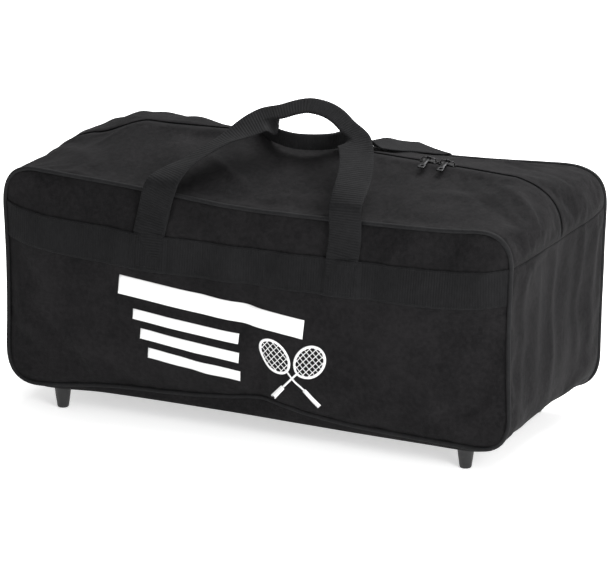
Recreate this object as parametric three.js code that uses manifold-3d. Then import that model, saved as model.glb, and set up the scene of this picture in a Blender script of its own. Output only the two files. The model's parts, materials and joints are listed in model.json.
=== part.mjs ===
// A soft rectangular tournament holdall for rackets and kit: two cloth side panels joined by a base strip and
// two top halves, piped seams, a webbing band and a carrying handle on each side, a zip with two sliders along
// the ridge of the top, a stiff base board and four moulded feet.
// Millimetres, +Z up, +X along the length, -Y towards the front. The feet stand on z = 0.
import * as THREE from 'three';
import Module from 'manifold-3d';
import { mergeVertices } from 'three/addons/utils/BufferGeometryUtils.js';

const wasm = await Module();
wasm.setup();

// ---------------------------------------------------------------- driving dimensions
const LENGTH = 750;             // between the piped seams, end to end
const DEPTH = 304;              // between the centres of the two pipings
const SEAM_BOTTOM = 34.6;       // height of the lower seam line
const SEAM_TOP = 339.6;         // height of the upper seam line
const CORNER = 60;              // corner radius of the side panels
const CLOTH = 2;                // thickness that stands for cloth with its coating and seam allowance
const GAP = 0.3;                // clearance between pieces that touch
const PIPING_RADIUS = 3;
const WEBBING = 50;             // width of the handle and band webbing
const WEBBING_THICK = 2.4;
const BAND_THICK = 1.5;
const BAND_TOP = 276;
const RIDGE_AT_SLIDERS = 373.5; // height of the zip where the sliders meet
const RIDGE_SLOPE = -0.05;      // the zip falls gently towards +X
const SLIDERS_X = 205;          // where the two sliders meet
const CLOTH_EDGE = 12;          // half of the slot that the zip shows in
const TAPE_EDGE = 24;           // half of the zip tape's full width
const FOOT_X = 302;
const FOOT_Y = 127;
const FOOT_HEIGHT = 33.3;

const HALF_LENGTH = LENGTH / 2;
const HALF_DEPTH = DEPTH / 2;
const STRIP_HALF = HALF_DEPTH - PIPING_RADIUS - GAP;
const ARC_X = HALF_LENGTH - CORNER;
const ARC_TOP = SEAM_TOP - CORNER;
const ARC_BOTTOM = SEAM_BOTTOM + CORNER;
const END_SEAM_ANGLE = THREE.MathUtils.degToRad(9);

// ---------------------------------------------------------------- finishes
const finish = (colour, roughness, metalness = 0) =>
  new THREE.MeshStandardMaterial({ color: colour, roughness, metalness });

const CLOTH_FINISH = { colour: 0x1d1d1f, roughness: 0.85 };
const cloth = () => finish(CLOTH_FINISH.colour, CLOTH_FINISH.roughness);
const webbing = () => finish(0x26262a, 0.8);
const piping = () => finish(0x19191b, 0.7);
const lining = () => finish(0x2a2a2c, 0.9);
const zipCloth = () => finish(0x18181a, 0.8);
const zinc = () => finish(0x6d6f73, 0.35, 1);
const plastic = () => finish(0x2b2b2b, 0.5);
const steel = () => finish(0xa8abb0, 0.4, 1);
const hardboard = () => finish(0x5a4632, 0.8);

const bag = new THREE.Group();

function addMesh(name, geometry, material, parent = bag) {
  const mesh = new THREE.Mesh(geometry, material);
  mesh.name = name;
  parent.add(mesh);
  return mesh;
}

// ---------------------------------------------------------------- shape helpers
// Skins a row of rings into one closed solid. In each ring, point i faces point (last - i), so a ring of
// cloth lists its outer side and then its inner side backwards.
function loft(rings, closed = false) {
  const size = rings[0].length;
  const positions = rings.flat().flatMap((p) => [p.x, p.y, p.z]);
  const index = [];
  const quad = (a, b, c, d) => index.push(a, b, c, a, c, d);
  const spans = closed ? rings.length : rings.length - 1;
  for (let r = 0; r < spans; r += 1) {
    const here = r * size;
    const next = ((r + 1) % rings.length) * size;
    for (let i = 0; i < size; i += 1) {
      const j = (i + 1) % size;
      quad(here + i, here + j, next + j, next + i);
    }
  }
  if (!closed) {
    const last = (rings.length - 1) * size;
    for (let i = 0; i < size / 2 - 1; i += 1) {
      const far = size - 1 - i;
      quad(i, far, far - 1, i + 1);
      quad(last + i, last + i + 1, last + far - 1, last + far);
    }
  }
  const geometry = new THREE.BufferGeometry();
  geometry.setAttribute('position', new THREE.Float32BufferAttribute(positions, 3));
  geometry.setIndex(signedVolume(positions, index) < 0 ? index.reverse() : index);
  geometry.computeVertexNormals();
  return geometry;
}

function signedVolume(positions, index) {
  const corner = (k) => new THREE.Vector3().fromArray(positions, index[k] * 3);
  let total = 0;
  for (let k = 0; k < index.length; k += 3) {
    total += corner(k).dot(corner(k + 1).cross(corner(k + 2)));
  }
  return total;
}

function toManifold(geometry) {
  const bare = geometry.clone();
  bare.deleteAttribute('normal');
  bare.deleteAttribute('uv');
  const merged = mergeVertices(bare, 1e-4);
  return new wasm.Manifold(new wasm.Mesh({
    numProp: 3,
    vertProperties: new Float32Array(merged.attributes.position.array),
    triVerts: new Uint32Array(merged.index.array),
  }));
}

function fromManifold(solid) {
  const mesh = solid.getMesh();
  const geometry = new THREE.BufferGeometry();
  geometry.setAttribute('position', new THREE.BufferAttribute(new Float32Array(mesh.vertProperties), 3));
  geometry.setIndex(new THREE.BufferAttribute(new Uint32Array(mesh.triVerts), 1));
  geometry.computeVertexNormals();
  return geometry;
}

const join = (first, ...rest) =>
  fromManifold(rest.reduce((solid, piece) => solid.add(toManifold(piece)), toManifold(first)));

const cut = (first, ...tools) =>
  fromManifold(tools.reduce((solid, tool) => solid.subtract(toManifold(tool)), toManifold(first)));

function box(low, high) {
  const geometry = new THREE.BoxGeometry(high[0] - low[0], high[1] - low[1], high[2] - low[2]);
  return geometry.translate((low[0] + high[0]) / 2, (low[1] + high[1]) / 2, (low[2] + high[2]) / 2);
}

// An upright cylinder between two heights.
function post(x, y, low, high, radius, sides = 16) {
  return new THREE.CylinderGeometry(radius, radius, high - low, sides)
    .rotateX(Math.PI / 2)
    .translate(x, y, (low + high) / 2);
}

// ---------------------------------------------------------------- the bag's form
// A station is a place on the seam line round a side panel: x, z, the outward direction, and how far the
// cloth between the two seams stands out (its crown) at the middle of the bag's depth.
const ridgeHeight = (x) => RIDGE_AT_SLIDERS + RIDGE_SLOPE * (x - SLIDERS_X);
const smooth = (t) => t * t * (3 - 2 * t);

const LEFT_SHOULDER = 19;       // crown where the top meets the left corner
const END_CROWN = 5;            // how far the stuffed ends bulge
const STRAIGHT_FROM = -225;     // the zip runs straight from here to the right corner

function topCrown(x) {
  if (x >= STRAIGHT_FROM) {
    return ridgeHeight(x) - SEAM_TOP;
  }
  const t = (x + ARC_X) / (STRAIGHT_FROM + ARC_X);
  return LEFT_SHOULDER + (ridgeHeight(STRAIGHT_FROM) - SEAM_TOP - LEFT_SHOULDER) * smooth(t);
}

function cornerStation(centreX, centreZ, angle, crown) {
  const nx = Math.cos(angle);
  const nz = Math.sin(angle);
  return { x: centreX + CORNER * nx, z: centreZ + CORNER * nz, nx, nz, crown };
}

function steps(from, to, count) {
  return Array.from({ length: count + 1 }, (_, i) => from + ((to - from) * i) / count);
}

// Right end seam, over the top, to the left end seam.
function topStations() {
  const right = steps(END_SEAM_ANGLE, Math.PI / 2, 6).map((angle) => {
    const rise = (angle / (Math.PI / 2)) ** 1.3;
    return cornerStation(ARC_X, ARC_TOP, angle, END_CROWN + (topCrown(ARC_X) - END_CROWN) * rise);
  });
  const across = [
    ...steps(ARC_X, STRAIGHT_FROM, 6).slice(1),
    ...steps(STRAIGHT_FROM, -ARC_X, 4).slice(1),
  ].map((x) => ({ x, z: SEAM_TOP, nx: 0, nz: 1, crown: topCrown(x) }));
  const left = steps(Math.PI / 2, END_SEAM_ANGLE, 6).slice(1).map((angle) => {
    const rise = (angle / (Math.PI / 2)) ** 3.5;
    return cornerStation(-ARC_X, ARC_TOP, Math.PI - angle, END_CROWN + (LEFT_SHOULDER - END_CROWN) * rise);
  });
  return [...right, ...across, ...left];
}

// Left end seam, down the end, along the base and up the right end to its seam.
function baseStations() {
  const half = [
    cornerStation(ARC_X, ARC_TOP, END_SEAM_ANGLE, END_CROWN),
    cornerStation(ARC_X, ARC_TOP, 0, END_CROWN),
    { x: HALF_LENGTH, z: (ARC_TOP + ARC_BOTTOM) / 2, nx: 1, nz: 0, crown: END_CROWN + 1 },
    ...steps(0, -Math.PI / 2, 6).map((angle) =>
      cornerStation(ARC_X, ARC_BOTTOM, angle, END_CROWN * Math.cos(angle) ** 2)),
  ];
  const mirrored = half.map((s) => ({ ...s, x: -s.x, nx: -s.nx }));
  return [...mirrored, ...half.reverse()];
}

// Point on the skin at one station: y across the depth, lift along the outward direction.
function skinPoint(station, y, lift) {
  const fullness = 1 - Math.abs(y / HALF_DEPTH) ** 1.5;
  const out = station.crown * Math.max(fullness, 0) + lift;
  return new THREE.Vector3(station.x + station.nx * out, y, station.z + station.nz * out);
}

// A strip of the skin between the given places across the depth, with its outer and inner lift.
function skinStrip(stations, across, outer, inner) {
  return loft(stations.map((s) => [
    ...across.map((y) => skinPoint(s, y, outer)),
    ...[...across].reverse().map((y) => skinPoint(s, y, inner)),
  ]));
}

const panelOutline = (inset) => {
  const radius = CORNER - inset;
  const shape = new THREE.Shape();
  shape.absarc(ARC_X, ARC_TOP, radius, 0, Math.PI / 2);
  shape.absarc(-ARC_X, ARC_TOP, radius, Math.PI / 2, Math.PI);
  shape.absarc(-ARC_X, ARC_BOTTOM, radius, Math.PI, Math.PI * 1.5);
  shape.absarc(ARC_X, ARC_BOTTOM, radius, Math.PI * 1.5, Math.PI * 2);
  shape.closePath();
  return shape;
};

// Extrudes an outline drawn in x and z through the depth, from y = low to y = high.
function extrudeThroughDepth(shape, low, high, curveSegments = 3) {
  return new THREE.ExtrudeGeometry(shape, { depth: high - low, bevelEnabled: false, curveSegments })
    .rotateX(Math.PI / 2)
    .translate(0, high, 0);
}

// ---------------------------------------------------------------- cloth body
const base = skinStrip(baseStations(), steps(-STRIP_HALF, STRIP_HALF, 6), CLOTH / 2, -CLOTH / 2);
const footPlaces = [
  { name: 'front_left', x: -FOOT_X, y: -FOOT_Y },
  { name: 'front_right', x: FOOT_X, y: -FOOT_Y },
  { name: 'rear_left', x: -FOOT_X, y: FOOT_Y },
  { name: 'rear_right', x: FOOT_X, y: FOOT_Y },
];
const SCREW_RADIUS = 2;
const SCREW_HOLE = SCREW_RADIUS + GAP;
const screwHoles = () => footPlaces.map((place) => post(place.x, place.y, -1, 60, SCREW_HOLE, 12));
addMesh('base_and_ends', cut(base, ...screwHoles()), cloth());

// Stations all the way round the seam line, for the pieces that follow it without a crown.
function seamLoop() {
  const corners = [
    [ARC_X, ARC_TOP, 0],
    [-ARC_X, ARC_TOP, 1],
    [-ARC_X, ARC_BOTTOM, 2],
    [ARC_X, ARC_BOTTOM, 3],
  ];
  return corners.flatMap(([x, z, quarter]) =>
    steps(quarter, quarter + 1, 6).map((turn) => cornerStation(x, z, (turn * Math.PI) / 2, 0)));
}

// Round cord in its cloth sleeve, sewn into the seam between a side panel and the strips.
function pipingLoop(middle) {
  const sides = 8;
  return loft(seamLoop().map((s) => Array.from({ length: sides }, (_, i) => {
    const turn = (i / sides) * Math.PI * 2;
    const out = PIPING_RADIUS * Math.cos(turn);
    return new THREE.Vector3(
      s.x + s.nx * out, middle + PIPING_RADIUS * Math.sin(turn), s.z + s.nz * out);
  })), true);
}

// Folded tape that covers the raw seam edges inside the bag.
const BINDING_WIDTH = 9;
const BINDING_THICK = 1.6;
function bindingLoop(sign) {
  const outerEdge = sign * STRIP_HALF;
  const innerEdge = sign * (STRIP_HALF - BINDING_WIDTH);
  const top = -CLOTH / 2 - GAP;
  return loft(seamLoop().map((s) => [
    skinPoint({ ...s, crown: 0 }, outerEdge, top),
    skinPoint({ ...s, crown: 0 }, innerEdge, top),
    skinPoint({ ...s, crown: 0 }, innerEdge, top - BINDING_THICK),
    skinPoint({ ...s, crown: 0 }, outerEdge, top - BINDING_THICK),
  ]), true);
}

const halfAcross = [CLOTH_EDGE, TAPE_EDGE, 54, 84, 116, STRIP_HALF];
for (const side of [{ name: 'front', sign: -1 }, { name: 'rear', sign: 1 }]) {
  const across = halfAcross.map((y) => y * side.sign);
  addMesh(`top_half_${side.name}`, skinStrip(topStations(), across, CLOTH / 2, -CLOTH / 2), cloth());

  const panelMiddle = side.sign * HALF_DEPTH;
  const panel = extrudeThroughDepth(
    panelOutline(PIPING_RADIUS + GAP), panelMiddle - CLOTH / 2, panelMiddle + CLOTH / 2);
  addMesh(`${side.name}_panel`, panel, cloth());

  addMesh(`piping_${side.name}`, pipingLoop(panelMiddle), piping());
  addMesh(`seam_binding_${side.name}`, bindingLoop(side.sign), lining());
}

// ---------------------------------------------------------------- bands and handles
const BAND_HALF = HALF_LENGTH - PIPING_RADIUS - GAP;
const PANEL_FACE = HALF_DEPTH + CLOTH / 2;

for (const side of [{ name: 'front', sign: -1 }, { name: 'rear', sign: 1 }]) {
  const near = side.sign * (PANEL_FACE + GAP);
  const far = side.sign * (PANEL_FACE + GAP + BAND_THICK);
  const low = [-BAND_HALF, Math.min(near, far), BAND_TOP - WEBBING];
  const high = [BAND_HALF, Math.max(near, far), BAND_TOP];
  addMesh(`${side.name}_band`, box(low, high), webbing());
}

// A handle is one length of webbing. Its shape is drawn flat, as a leaning arch with two legs, and then
// laid on a curved sheet that climbs the side panel, turns over the top edge and runs inwards.
const HANDLE_SPREAD = 142;      // each leg's distance from the middle where it leaves the band
const HANDLE_LEAN = 34;         // how far the arch leans towards +X at its top
const GRIP_HALF = WEBBING / 4;  // the grip is the webbing folded in two along its length
const GRIP_THICK = 5;
const HANDLE_HINGE_OUT = PANEL_FACE + GAP + BAND_THICK + GAP + WEBBING_THICK / 2 + 2;
const HANDLE_START = 1.5;       // the webbing starts this far above its hinge line

// Distance inwards and height of the sheet at each millimetre from the hinge line. The turns list where the
// sheet's direction changes and to which angle above level.
function sheetProfile(turns, length) {
  const points = [{ inward: 0, height: 0 }];
  for (let along = 1; along <= length; along += 1) {
    const angle = THREE.MathUtils.degToRad(sheetAngle(turns, along));
    const last = points[points.length - 1];
    points.push({ inward: last.inward + Math.cos(angle), height: last.height + Math.sin(angle) });
  }
  return (along) => {
    const i = Math.min(Math.max(Math.floor(along), 0), points.length - 2);
    const t = along - i;
    return {
      inward: THREE.MathUtils.lerp(points[i].inward, points[i + 1].inward, t),
      height: THREE.MathUtils.lerp(points[i].height, points[i + 1].height, t),
      angle: THREE.MathUtils.degToRad(sheetAngle(turns, along)),
    };
  };
}

function sheetAngle(turns, along) {
  let angle = turns[0].angle;
  for (const turn of turns.slice(1)) {
    const t = THREE.MathUtils.clamp((along - turn.from) / (turn.to - turn.from), 0, 1);
    angle = THREE.MathUtils.lerp(angle, turn.angle, smooth(t));
  }
  return angle;
}

function handle({ sign, turns, rise, squeeze }) {
  const sheet = sheetProfile(turns, rise + WEBBING);
  const startTurn = Math.asin(HANDLE_START / rise);
  const centre = (turn) => new THREE.Vector2(
    HANDLE_LEAN * Math.sin(turn)
      - HANDLE_SPREAD * Math.sign(Math.cos(turn)) * Math.abs(Math.cos(turn)) ** squeeze,
    rise * Math.sin(turn));
  const place = (x, along, out) => {
    const at = sheet(along);
    return new THREE.Vector3(
      x,
      sign * (HANDLE_HINGE_OUT - at.inward + out * Math.sin(at.angle)),
      BAND_TOP + at.height + out * Math.cos(at.angle));
  };
  return loft(steps(startTurn, Math.PI - startTurn, 44).map((turn) => {
    const here = centre(turn);
    const ahead = centre(turn + 1e-3).sub(centre(turn - 1e-3)).normalize();
    const atEnd = Math.abs(Math.cos(turn)) > Math.cos(startTurn) - 1e-9;
    const across = atEnd ? new THREE.Vector2(-Math.sign(Math.cos(turn)), 0)
      : new THREE.Vector2(-ahead.y, ahead.x);
    const folded = smooth(THREE.MathUtils.clamp((Math.sin(turn) - 0.74) / 0.18, 0, 1));
    const half = THREE.MathUtils.lerp(WEBBING / 2, GRIP_HALF, folded);
    const thick = THREE.MathUtils.lerp(WEBBING_THICK, GRIP_THICK, folded) / 2;
    const left = here.clone().addScaledVector(across, half);
    const right = here.clone().addScaledVector(across, -half);
    return [
      place(left.x, left.y, thick),
      place(right.x, right.y, thick),
      place(right.x, right.y, -thick),
      place(left.x, left.y, -thick),
    ];
  }));
}

// The front handle stands up from the top edge and leans back over the ridge.
const frontHandle = handle({
  sign: -1,
  rise: 236,
  squeeze: 1.2,
  turns: [{ angle: 96 }, { from: 61, to: 85, angle: 34.8 }],
});
addMesh('front_handle', frontHandle, webbing());

// The rear handle lies over the rear half of the top, and its grip stands on edge just past the ridge.
const rearHandle = handle({
  sign: 1,
  rise: 262,
  squeeze: 1.5,
  turns: [{ angle: 96 }, { from: 61, to: 85, angle: 23 }, { from: 130, to: 200, angle: 9 },
    { from: 243, to: 256, angle: 84 }],
});
addMesh('rear_handle', rearHandle, webbing());

// ---------------------------------------------------------------- zip
const COIL_HALF = 4;
const COIL_TOP = 0.6;
const TAPE_TOP = -CLOTH / 2 - GAP;
const TAPE_THICK = 1.2;
const tapeAcross = [COIL_HALF + GAP, CLOTH_EDGE, TAPE_EDGE];

addMesh('zip_tape_front',
  skinStrip(topStations(), tapeAcross.map((y) => -y), TAPE_TOP, TAPE_TOP - TAPE_THICK), zipCloth());
addMesh('zip_tape_rear', skinStrip(topStations(), tapeAcross, TAPE_TOP, TAPE_TOP - TAPE_THICK), zipCloth());
addMesh('zip_coil', skinStrip(topStations(), [-COIL_HALF, COIL_HALF], COIL_TOP, TAPE_TOP - TAPE_THICK),
  zipCloth());

const SLIDER_LENGTH = 24;
const SLIDER_HALF = 6.5;
const SLIDER_LIP = 2;
const PLATE_LOW = COIL_TOP + GAP;
const PLATE_HIGH = PLATE_LOW + 1.8;
const BAR_HEIGHT = PLATE_HIGH + 3.6;
const BAR_RADIUS = 1;
const BRIDGE_POST = 8.5;        // each bridge post's distance from the slider's middle
const KNUCKLE_RADIUS = 2.3;
const PULL_LENGTH = 30;
const PULL_HALF = 4.8;
const PULL_THICK = 1.6;
const PULL_TILT = THREE.MathUtils.degToRad(12);

// Slider body: a plate over the coil with a lip down each side, and a bridge bar along its back.
function sliderBody() {
  const half = SLIDER_LENGTH / 2;
  const plate = box([-half, -SLIDER_HALF, PLATE_LOW], [half, SLIDER_HALF, PLATE_HIGH]);
  const lips = [-1, 1].map((sign) => {
    const edges = [sign * (SLIDER_HALF - SLIDER_LIP), sign * SLIDER_HALF].sort((a, b) => a - b);
    return box([-half, edges[0], TAPE_TOP + GAP], [half, edges[1], PLATE_LOW + 0.5]);
  });
  const posts = [-1, 1].map((sign) =>
    box([sign * BRIDGE_POST - 1.5, -1.5, PLATE_HIGH - 0.5], [sign * BRIDGE_POST + 1.5, 1.5, BAR_HEIGHT + 1.2]));
  const bar = new THREE.CylinderGeometry(BAR_RADIUS, BAR_RADIUS, BRIDGE_POST * 2, 12)
    .rotateZ(Math.PI / 2)
    .translate(0, 0, BAR_HEIGHT);
  return join(plate, ...lips, ...posts, bar);
}

// Puller: a flat tab with a hole near its free end, curled round the bridge bar at the other.
function pullTab() {
  const outline = new THREE.Shape();
  outline.moveTo(-3, 0);
  outline.lineTo(-PULL_HALF, -9);
  outline.lineTo(-PULL_HALF, -PULL_LENGTH + PULL_HALF);
  outline.absarc(0, -PULL_LENGTH + PULL_HALF, PULL_HALF, Math.PI, Math.PI * 2);
  outline.lineTo(PULL_HALF, -9);
  outline.lineTo(3, 0);
  outline.closePath();
  const hole = new THREE.Path();
  hole.absarc(0, -PULL_LENGTH + PULL_HALF + 1, 2, 0, Math.PI * 2);
  outline.holes.push(hole);
  const tab = new THREE.ExtrudeGeometry(outline, { depth: PULL_THICK, bevelEnabled: false, curveSegments: 8 })
    .translate(0, 0, -PULL_THICK / 2);
  const knuckle = new THREE.CylinderGeometry(KNUCKLE_RADIUS, KNUCKLE_RADIUS, 6, 16).rotateZ(Math.PI / 2);
  const eye = new THREE.CylinderGeometry(BAR_RADIUS + GAP, BAR_RADIUS + GAP, 20, 16).rotateZ(Math.PI / 2);
  return cut(join(tab, knuckle), eye).rotateX(PULL_TILT);
}

const SLIDER_SPACING = 27;
for (const side of [{ name: 'left', sign: -1 }, { name: 'right', sign: 1 }]) {
  const x = SLIDERS_X + (side.sign * SLIDER_SPACING) / 2;
  const onZip = new THREE.Group();
  onZip.position.set(x, 0, ridgeHeight(x));
  onZip.rotation.y = -Math.atan(RIDGE_SLOPE);
  bag.add(onZip);
  addMesh(`slider_${side.name}`, sliderBody(), zinc(), onZip);
  addMesh(`pull_${side.name}`, pullTab(), zinc(), onZip).position.z = BAR_HEIGHT;
}

// ---------------------------------------------------------------- base board and feet
const BOARD_LOW = SEAM_BOTTOM + CLOTH / 2 + GAP;
const BOARD_THICK = 3;
const BOARD_HALF_LENGTH = 315;
const BOARD_HALF_WIDTH = 137;
const board = box(
  [-BOARD_HALF_LENGTH, -BOARD_HALF_WIDTH, BOARD_LOW], [BOARD_HALF_LENGTH, BOARD_HALF_WIDTH, BOARD_LOW + BOARD_THICK]);
addMesh('base_board', cut(board, ...screwHoles()), hardboard());

// Half profile of a ring or a turned piece, closed on itself or on the axis, spun about its upright axis.
function turned(profile, place, sides = 20) {
  return new THREE.LatheGeometry(profile.map(([r, z]) => new THREE.Vector2(r, z)), sides)
    .rotateX(Math.PI / 2)
    .translate(place.x, place.y, 0);
}

const SCREW_HEAD = 4;
const RECESS_DEPTH = 12;
const HEAD_HEIGHT = 2.8;
const WASHER_THICK = 1;
const NUT_THICK = 3.2;
const WASHER_LOW = BOARD_LOW + BOARD_THICK + GAP;
const NUT_LOW = WASHER_LOW + WASHER_THICK + GAP;
const NUT_HOLE = SCREW_HOLE;
const SCREW_TOP = NUT_LOW + NUT_THICK + 1.5;

for (const place of footPlaces) {
  const foot = turned([
    [SCREW_HEAD + GAP + 0.4, 0], [7.4, 0], [8, 0.8], [11, FOOT_HEIGHT - 5], [12.5, FOOT_HEIGHT - 2.5],
    [12.5, FOOT_HEIGHT], [SCREW_HOLE, FOOT_HEIGHT], [SCREW_HOLE, RECESS_DEPTH],
    [SCREW_HEAD + GAP + 0.4, RECESS_DEPTH], [SCREW_HEAD + GAP + 0.4, 0],
  ], place);
  addMesh(`foot_${place.name}`, foot, plastic());

  const headTop = RECESS_DEPTH - GAP;
  const screw = turned([
    [0, headTop - HEAD_HEIGHT], [SCREW_HEAD, headTop - HEAD_HEIGHT], [SCREW_HEAD, headTop],
    [SCREW_RADIUS, headTop], [SCREW_RADIUS, SCREW_TOP], [0, SCREW_TOP],
  ], place, 12);
  addMesh(`foot_screw_${place.name}`, screw, steel());

  const washer = turned([
    [SCREW_HOLE, WASHER_LOW], [8, WASHER_LOW], [8, WASHER_LOW + WASHER_THICK],
    [SCREW_HOLE, WASHER_LOW + WASHER_THICK], [SCREW_HOLE, WASHER_LOW],
  ], place, 16);
  addMesh(`foot_washer_${place.name}`, washer, steel());

  const nut = cut(
    post(place.x, place.y, NUT_LOW, NUT_LOW + NUT_THICK, 4, 6),
    post(place.x, place.y, NUT_LOW - 1, NUT_LOW + NUT_THICK + 1, NUT_HOLE, 12));
  addMesh(`foot_nut_${place.name}`, nut, steel());
}

export default bag;
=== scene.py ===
import json
import math

import bmesh
import bpy
import numpy as np
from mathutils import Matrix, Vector, noise
from mathutils.bvhtree import BVHTree

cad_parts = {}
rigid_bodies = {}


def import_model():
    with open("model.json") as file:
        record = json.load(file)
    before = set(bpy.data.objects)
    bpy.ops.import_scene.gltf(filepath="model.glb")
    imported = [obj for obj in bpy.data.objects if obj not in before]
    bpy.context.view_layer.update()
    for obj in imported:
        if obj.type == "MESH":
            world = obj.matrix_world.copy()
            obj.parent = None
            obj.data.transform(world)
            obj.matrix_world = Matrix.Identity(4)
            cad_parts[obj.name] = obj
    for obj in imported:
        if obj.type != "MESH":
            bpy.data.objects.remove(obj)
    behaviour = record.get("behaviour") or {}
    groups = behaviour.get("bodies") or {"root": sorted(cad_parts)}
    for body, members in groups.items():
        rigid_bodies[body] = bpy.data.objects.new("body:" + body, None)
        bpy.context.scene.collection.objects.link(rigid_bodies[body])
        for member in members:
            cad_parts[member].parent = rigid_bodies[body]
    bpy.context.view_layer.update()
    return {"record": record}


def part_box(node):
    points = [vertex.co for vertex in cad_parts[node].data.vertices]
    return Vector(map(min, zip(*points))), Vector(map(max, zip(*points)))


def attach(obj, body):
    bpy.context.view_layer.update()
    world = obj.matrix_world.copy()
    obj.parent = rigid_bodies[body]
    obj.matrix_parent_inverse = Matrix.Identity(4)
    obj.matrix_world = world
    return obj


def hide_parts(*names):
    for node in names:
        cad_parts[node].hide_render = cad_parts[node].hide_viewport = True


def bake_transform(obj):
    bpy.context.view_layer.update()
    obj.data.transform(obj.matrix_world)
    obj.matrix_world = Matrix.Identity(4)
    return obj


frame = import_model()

MM = 0.001

# ---------------------------------------------------------------- camera and studio
# A long lens a good five metres off, a little above the bag and to the right of its front. The bag stands on
# a pale floor that runs out of sight, under one wide overhead light and a weaker one behind its right end.
AIM = Vector((7.7, 0, 181.6)) * MM
AZIMUTH = math.radians(24.8)
ELEVATION = math.radians(16.64)
DISTANCE = 5.105
LENS_MM = 220.4

toward_camera = Vector((
    math.sin(AZIMUTH) * math.cos(ELEVATION),
    -math.cos(AZIMUTH) * math.cos(ELEVATION),
    math.sin(ELEVATION),
))
camera_data = bpy.data.cameras.new("camera")
camera_data.lens = LENS_MM
camera_data.clip_end = 50
camera = bpy.data.objects.new("camera", camera_data)
camera.location = AIM + toward_camera * DISTANCE
camera.rotation_euler = toward_camera.to_track_quat("Z", "Y").to_euler()
bpy.context.collection.objects.link(camera)
bpy.context.scene.camera = camera


def linear(hex_colour):
    """An sRGB hex colour as linear red, green, blue and alpha."""
    parts = [int(hex_colour[i:i + 2], 16) / 255 for i in (1, 3, 5)]
    return tuple(c / 12.92 if c <= 0.04045 else ((c + 0.055) / 1.055) ** 2.4 for c in parts) + (1.0,)


def new_material(name):
    """An empty node material with its Principled shader, and its tree."""
    material = bpy.data.materials.new(name)
    material.use_nodes = True
    return material, material.node_tree, material.node_tree.nodes["Principled BSDF"]


def add_node(tree, kind, settings=None, inputs=None):
    """Adds one node. settings are its properties; inputs are its sockets' values, or the sockets that feed them."""
    node = tree.nodes.new(kind)
    for key, value in (settings or {}).items():
        setattr(node, key, value)
    for key, value in (inputs or {}).items():
        if isinstance(value, bpy.types.NodeSocket):
            tree.links.new(value, node.inputs[key])
        else:
            node.inputs[key].default_value = value
    return node


def finish_of(name, scale, dark, light, detail, fixed, rough=None, bump=None):
    """A plain material: one noise through the piece that shades it from dark to light, roughens it and gives
    it relief. rough is the range of roughness; bump is its strength and depth in millimetres."""
    material, tree, shader = new_material(name)
    place = add_node(tree, "ShaderNodeTexCoord")
    grain = add_node(tree, "ShaderNodeTexNoise", {},
                     {"Vector": place.outputs["Object"], "Scale": scale, "Detail": detail})
    shade = add_node(tree, "ShaderNodeMix", {"data_type": "RGBA"},
                     {"Factor": grain.outputs["Fac"], "A": linear(dark), "B": linear(light)})
    tree.links.new(shade.outputs["Result"], shader.inputs["Base Color"])
    for key, value in fixed.items():
        shader.inputs[key].default_value = value
    if rough:
        spread = add_node(tree, "ShaderNodeMapRange", {},
                          {"Value": grain.outputs["Fac"], "To Min": rough[0], "To Max": rough[1]})
        tree.links.new(spread.outputs[0], shader.inputs["Roughness"])
    if bump:
        relief = add_node(tree, "ShaderNodeBump", {},
                          {"Height": grain.outputs["Fac"], "Strength": bump[0], "Distance": bump[1] * MM})
        tree.links.new(relief.outputs["Normal"], shader.inputs["Normal"])
    return material


def new_piece(name, mesh, material):
    """Turns a bmesh into an object at the origin with its material and smooth faces."""
    data = bpy.data.meshes.new(name)
    mesh.to_mesh(data)
    mesh.free()
    data.materials.append(material)
    data.shade_smooth()
    piece = bpy.data.objects.new(name, data)
    bpy.context.collection.objects.link(piece)
    return piece


# A backlit sweep of matt white acrylic, which softens the shadow under the bag.
acrylic, tree, shader = new_material("backlit_acrylic")
shader.inputs["Base Color"].default_value = linear("#f7f7f7")
shader.inputs["Roughness"].default_value = 0.95
shader.inputs["Specular IOR Level"].default_value = 0.1
shader.inputs["Emission Color"].default_value = linear("#ffffff")
shader.inputs["Emission Strength"].default_value = 0.56
mesh = bmesh.new()
bmesh.ops.create_grid(mesh, x_segments=2, y_segments=2, size=14)
new_piece("floor", mesh, acrylic)

world = bpy.data.worlds.new("studio")
world.use_nodes = True
world.node_tree.nodes["Background"].inputs["Color"].default_value = linear("#ffffff")
world.node_tree.nodes["Background"].inputs["Strength"].default_value = 0.5
bpy.context.scene.world = world
bpy.context.scene.view_settings.view_transform = "Standard"


def area_light(name, place, target, size, watts):
    data = bpy.data.lights.new(name, "AREA")
    data.shape = "RECTANGLE"
    data.size, data.size_y = size
    data.energy = watts
    light = bpy.data.objects.new(name, data)
    light.location = place
    light.rotation_euler = (Vector(place) - Vector(target)).to_track_quat("Z", "Y").to_euler()
    bpy.context.collection.objects.link(light)


area_light("overhead_softbox", (0.5, 0.9, 2.6), (0, 0, 0.2), (2.4, 1.6), 138)
area_light("end_softbox", (1.7, -1.2, 0.9), (0.25, 0, 0.2), (0.9, 0.9), 27)

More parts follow.
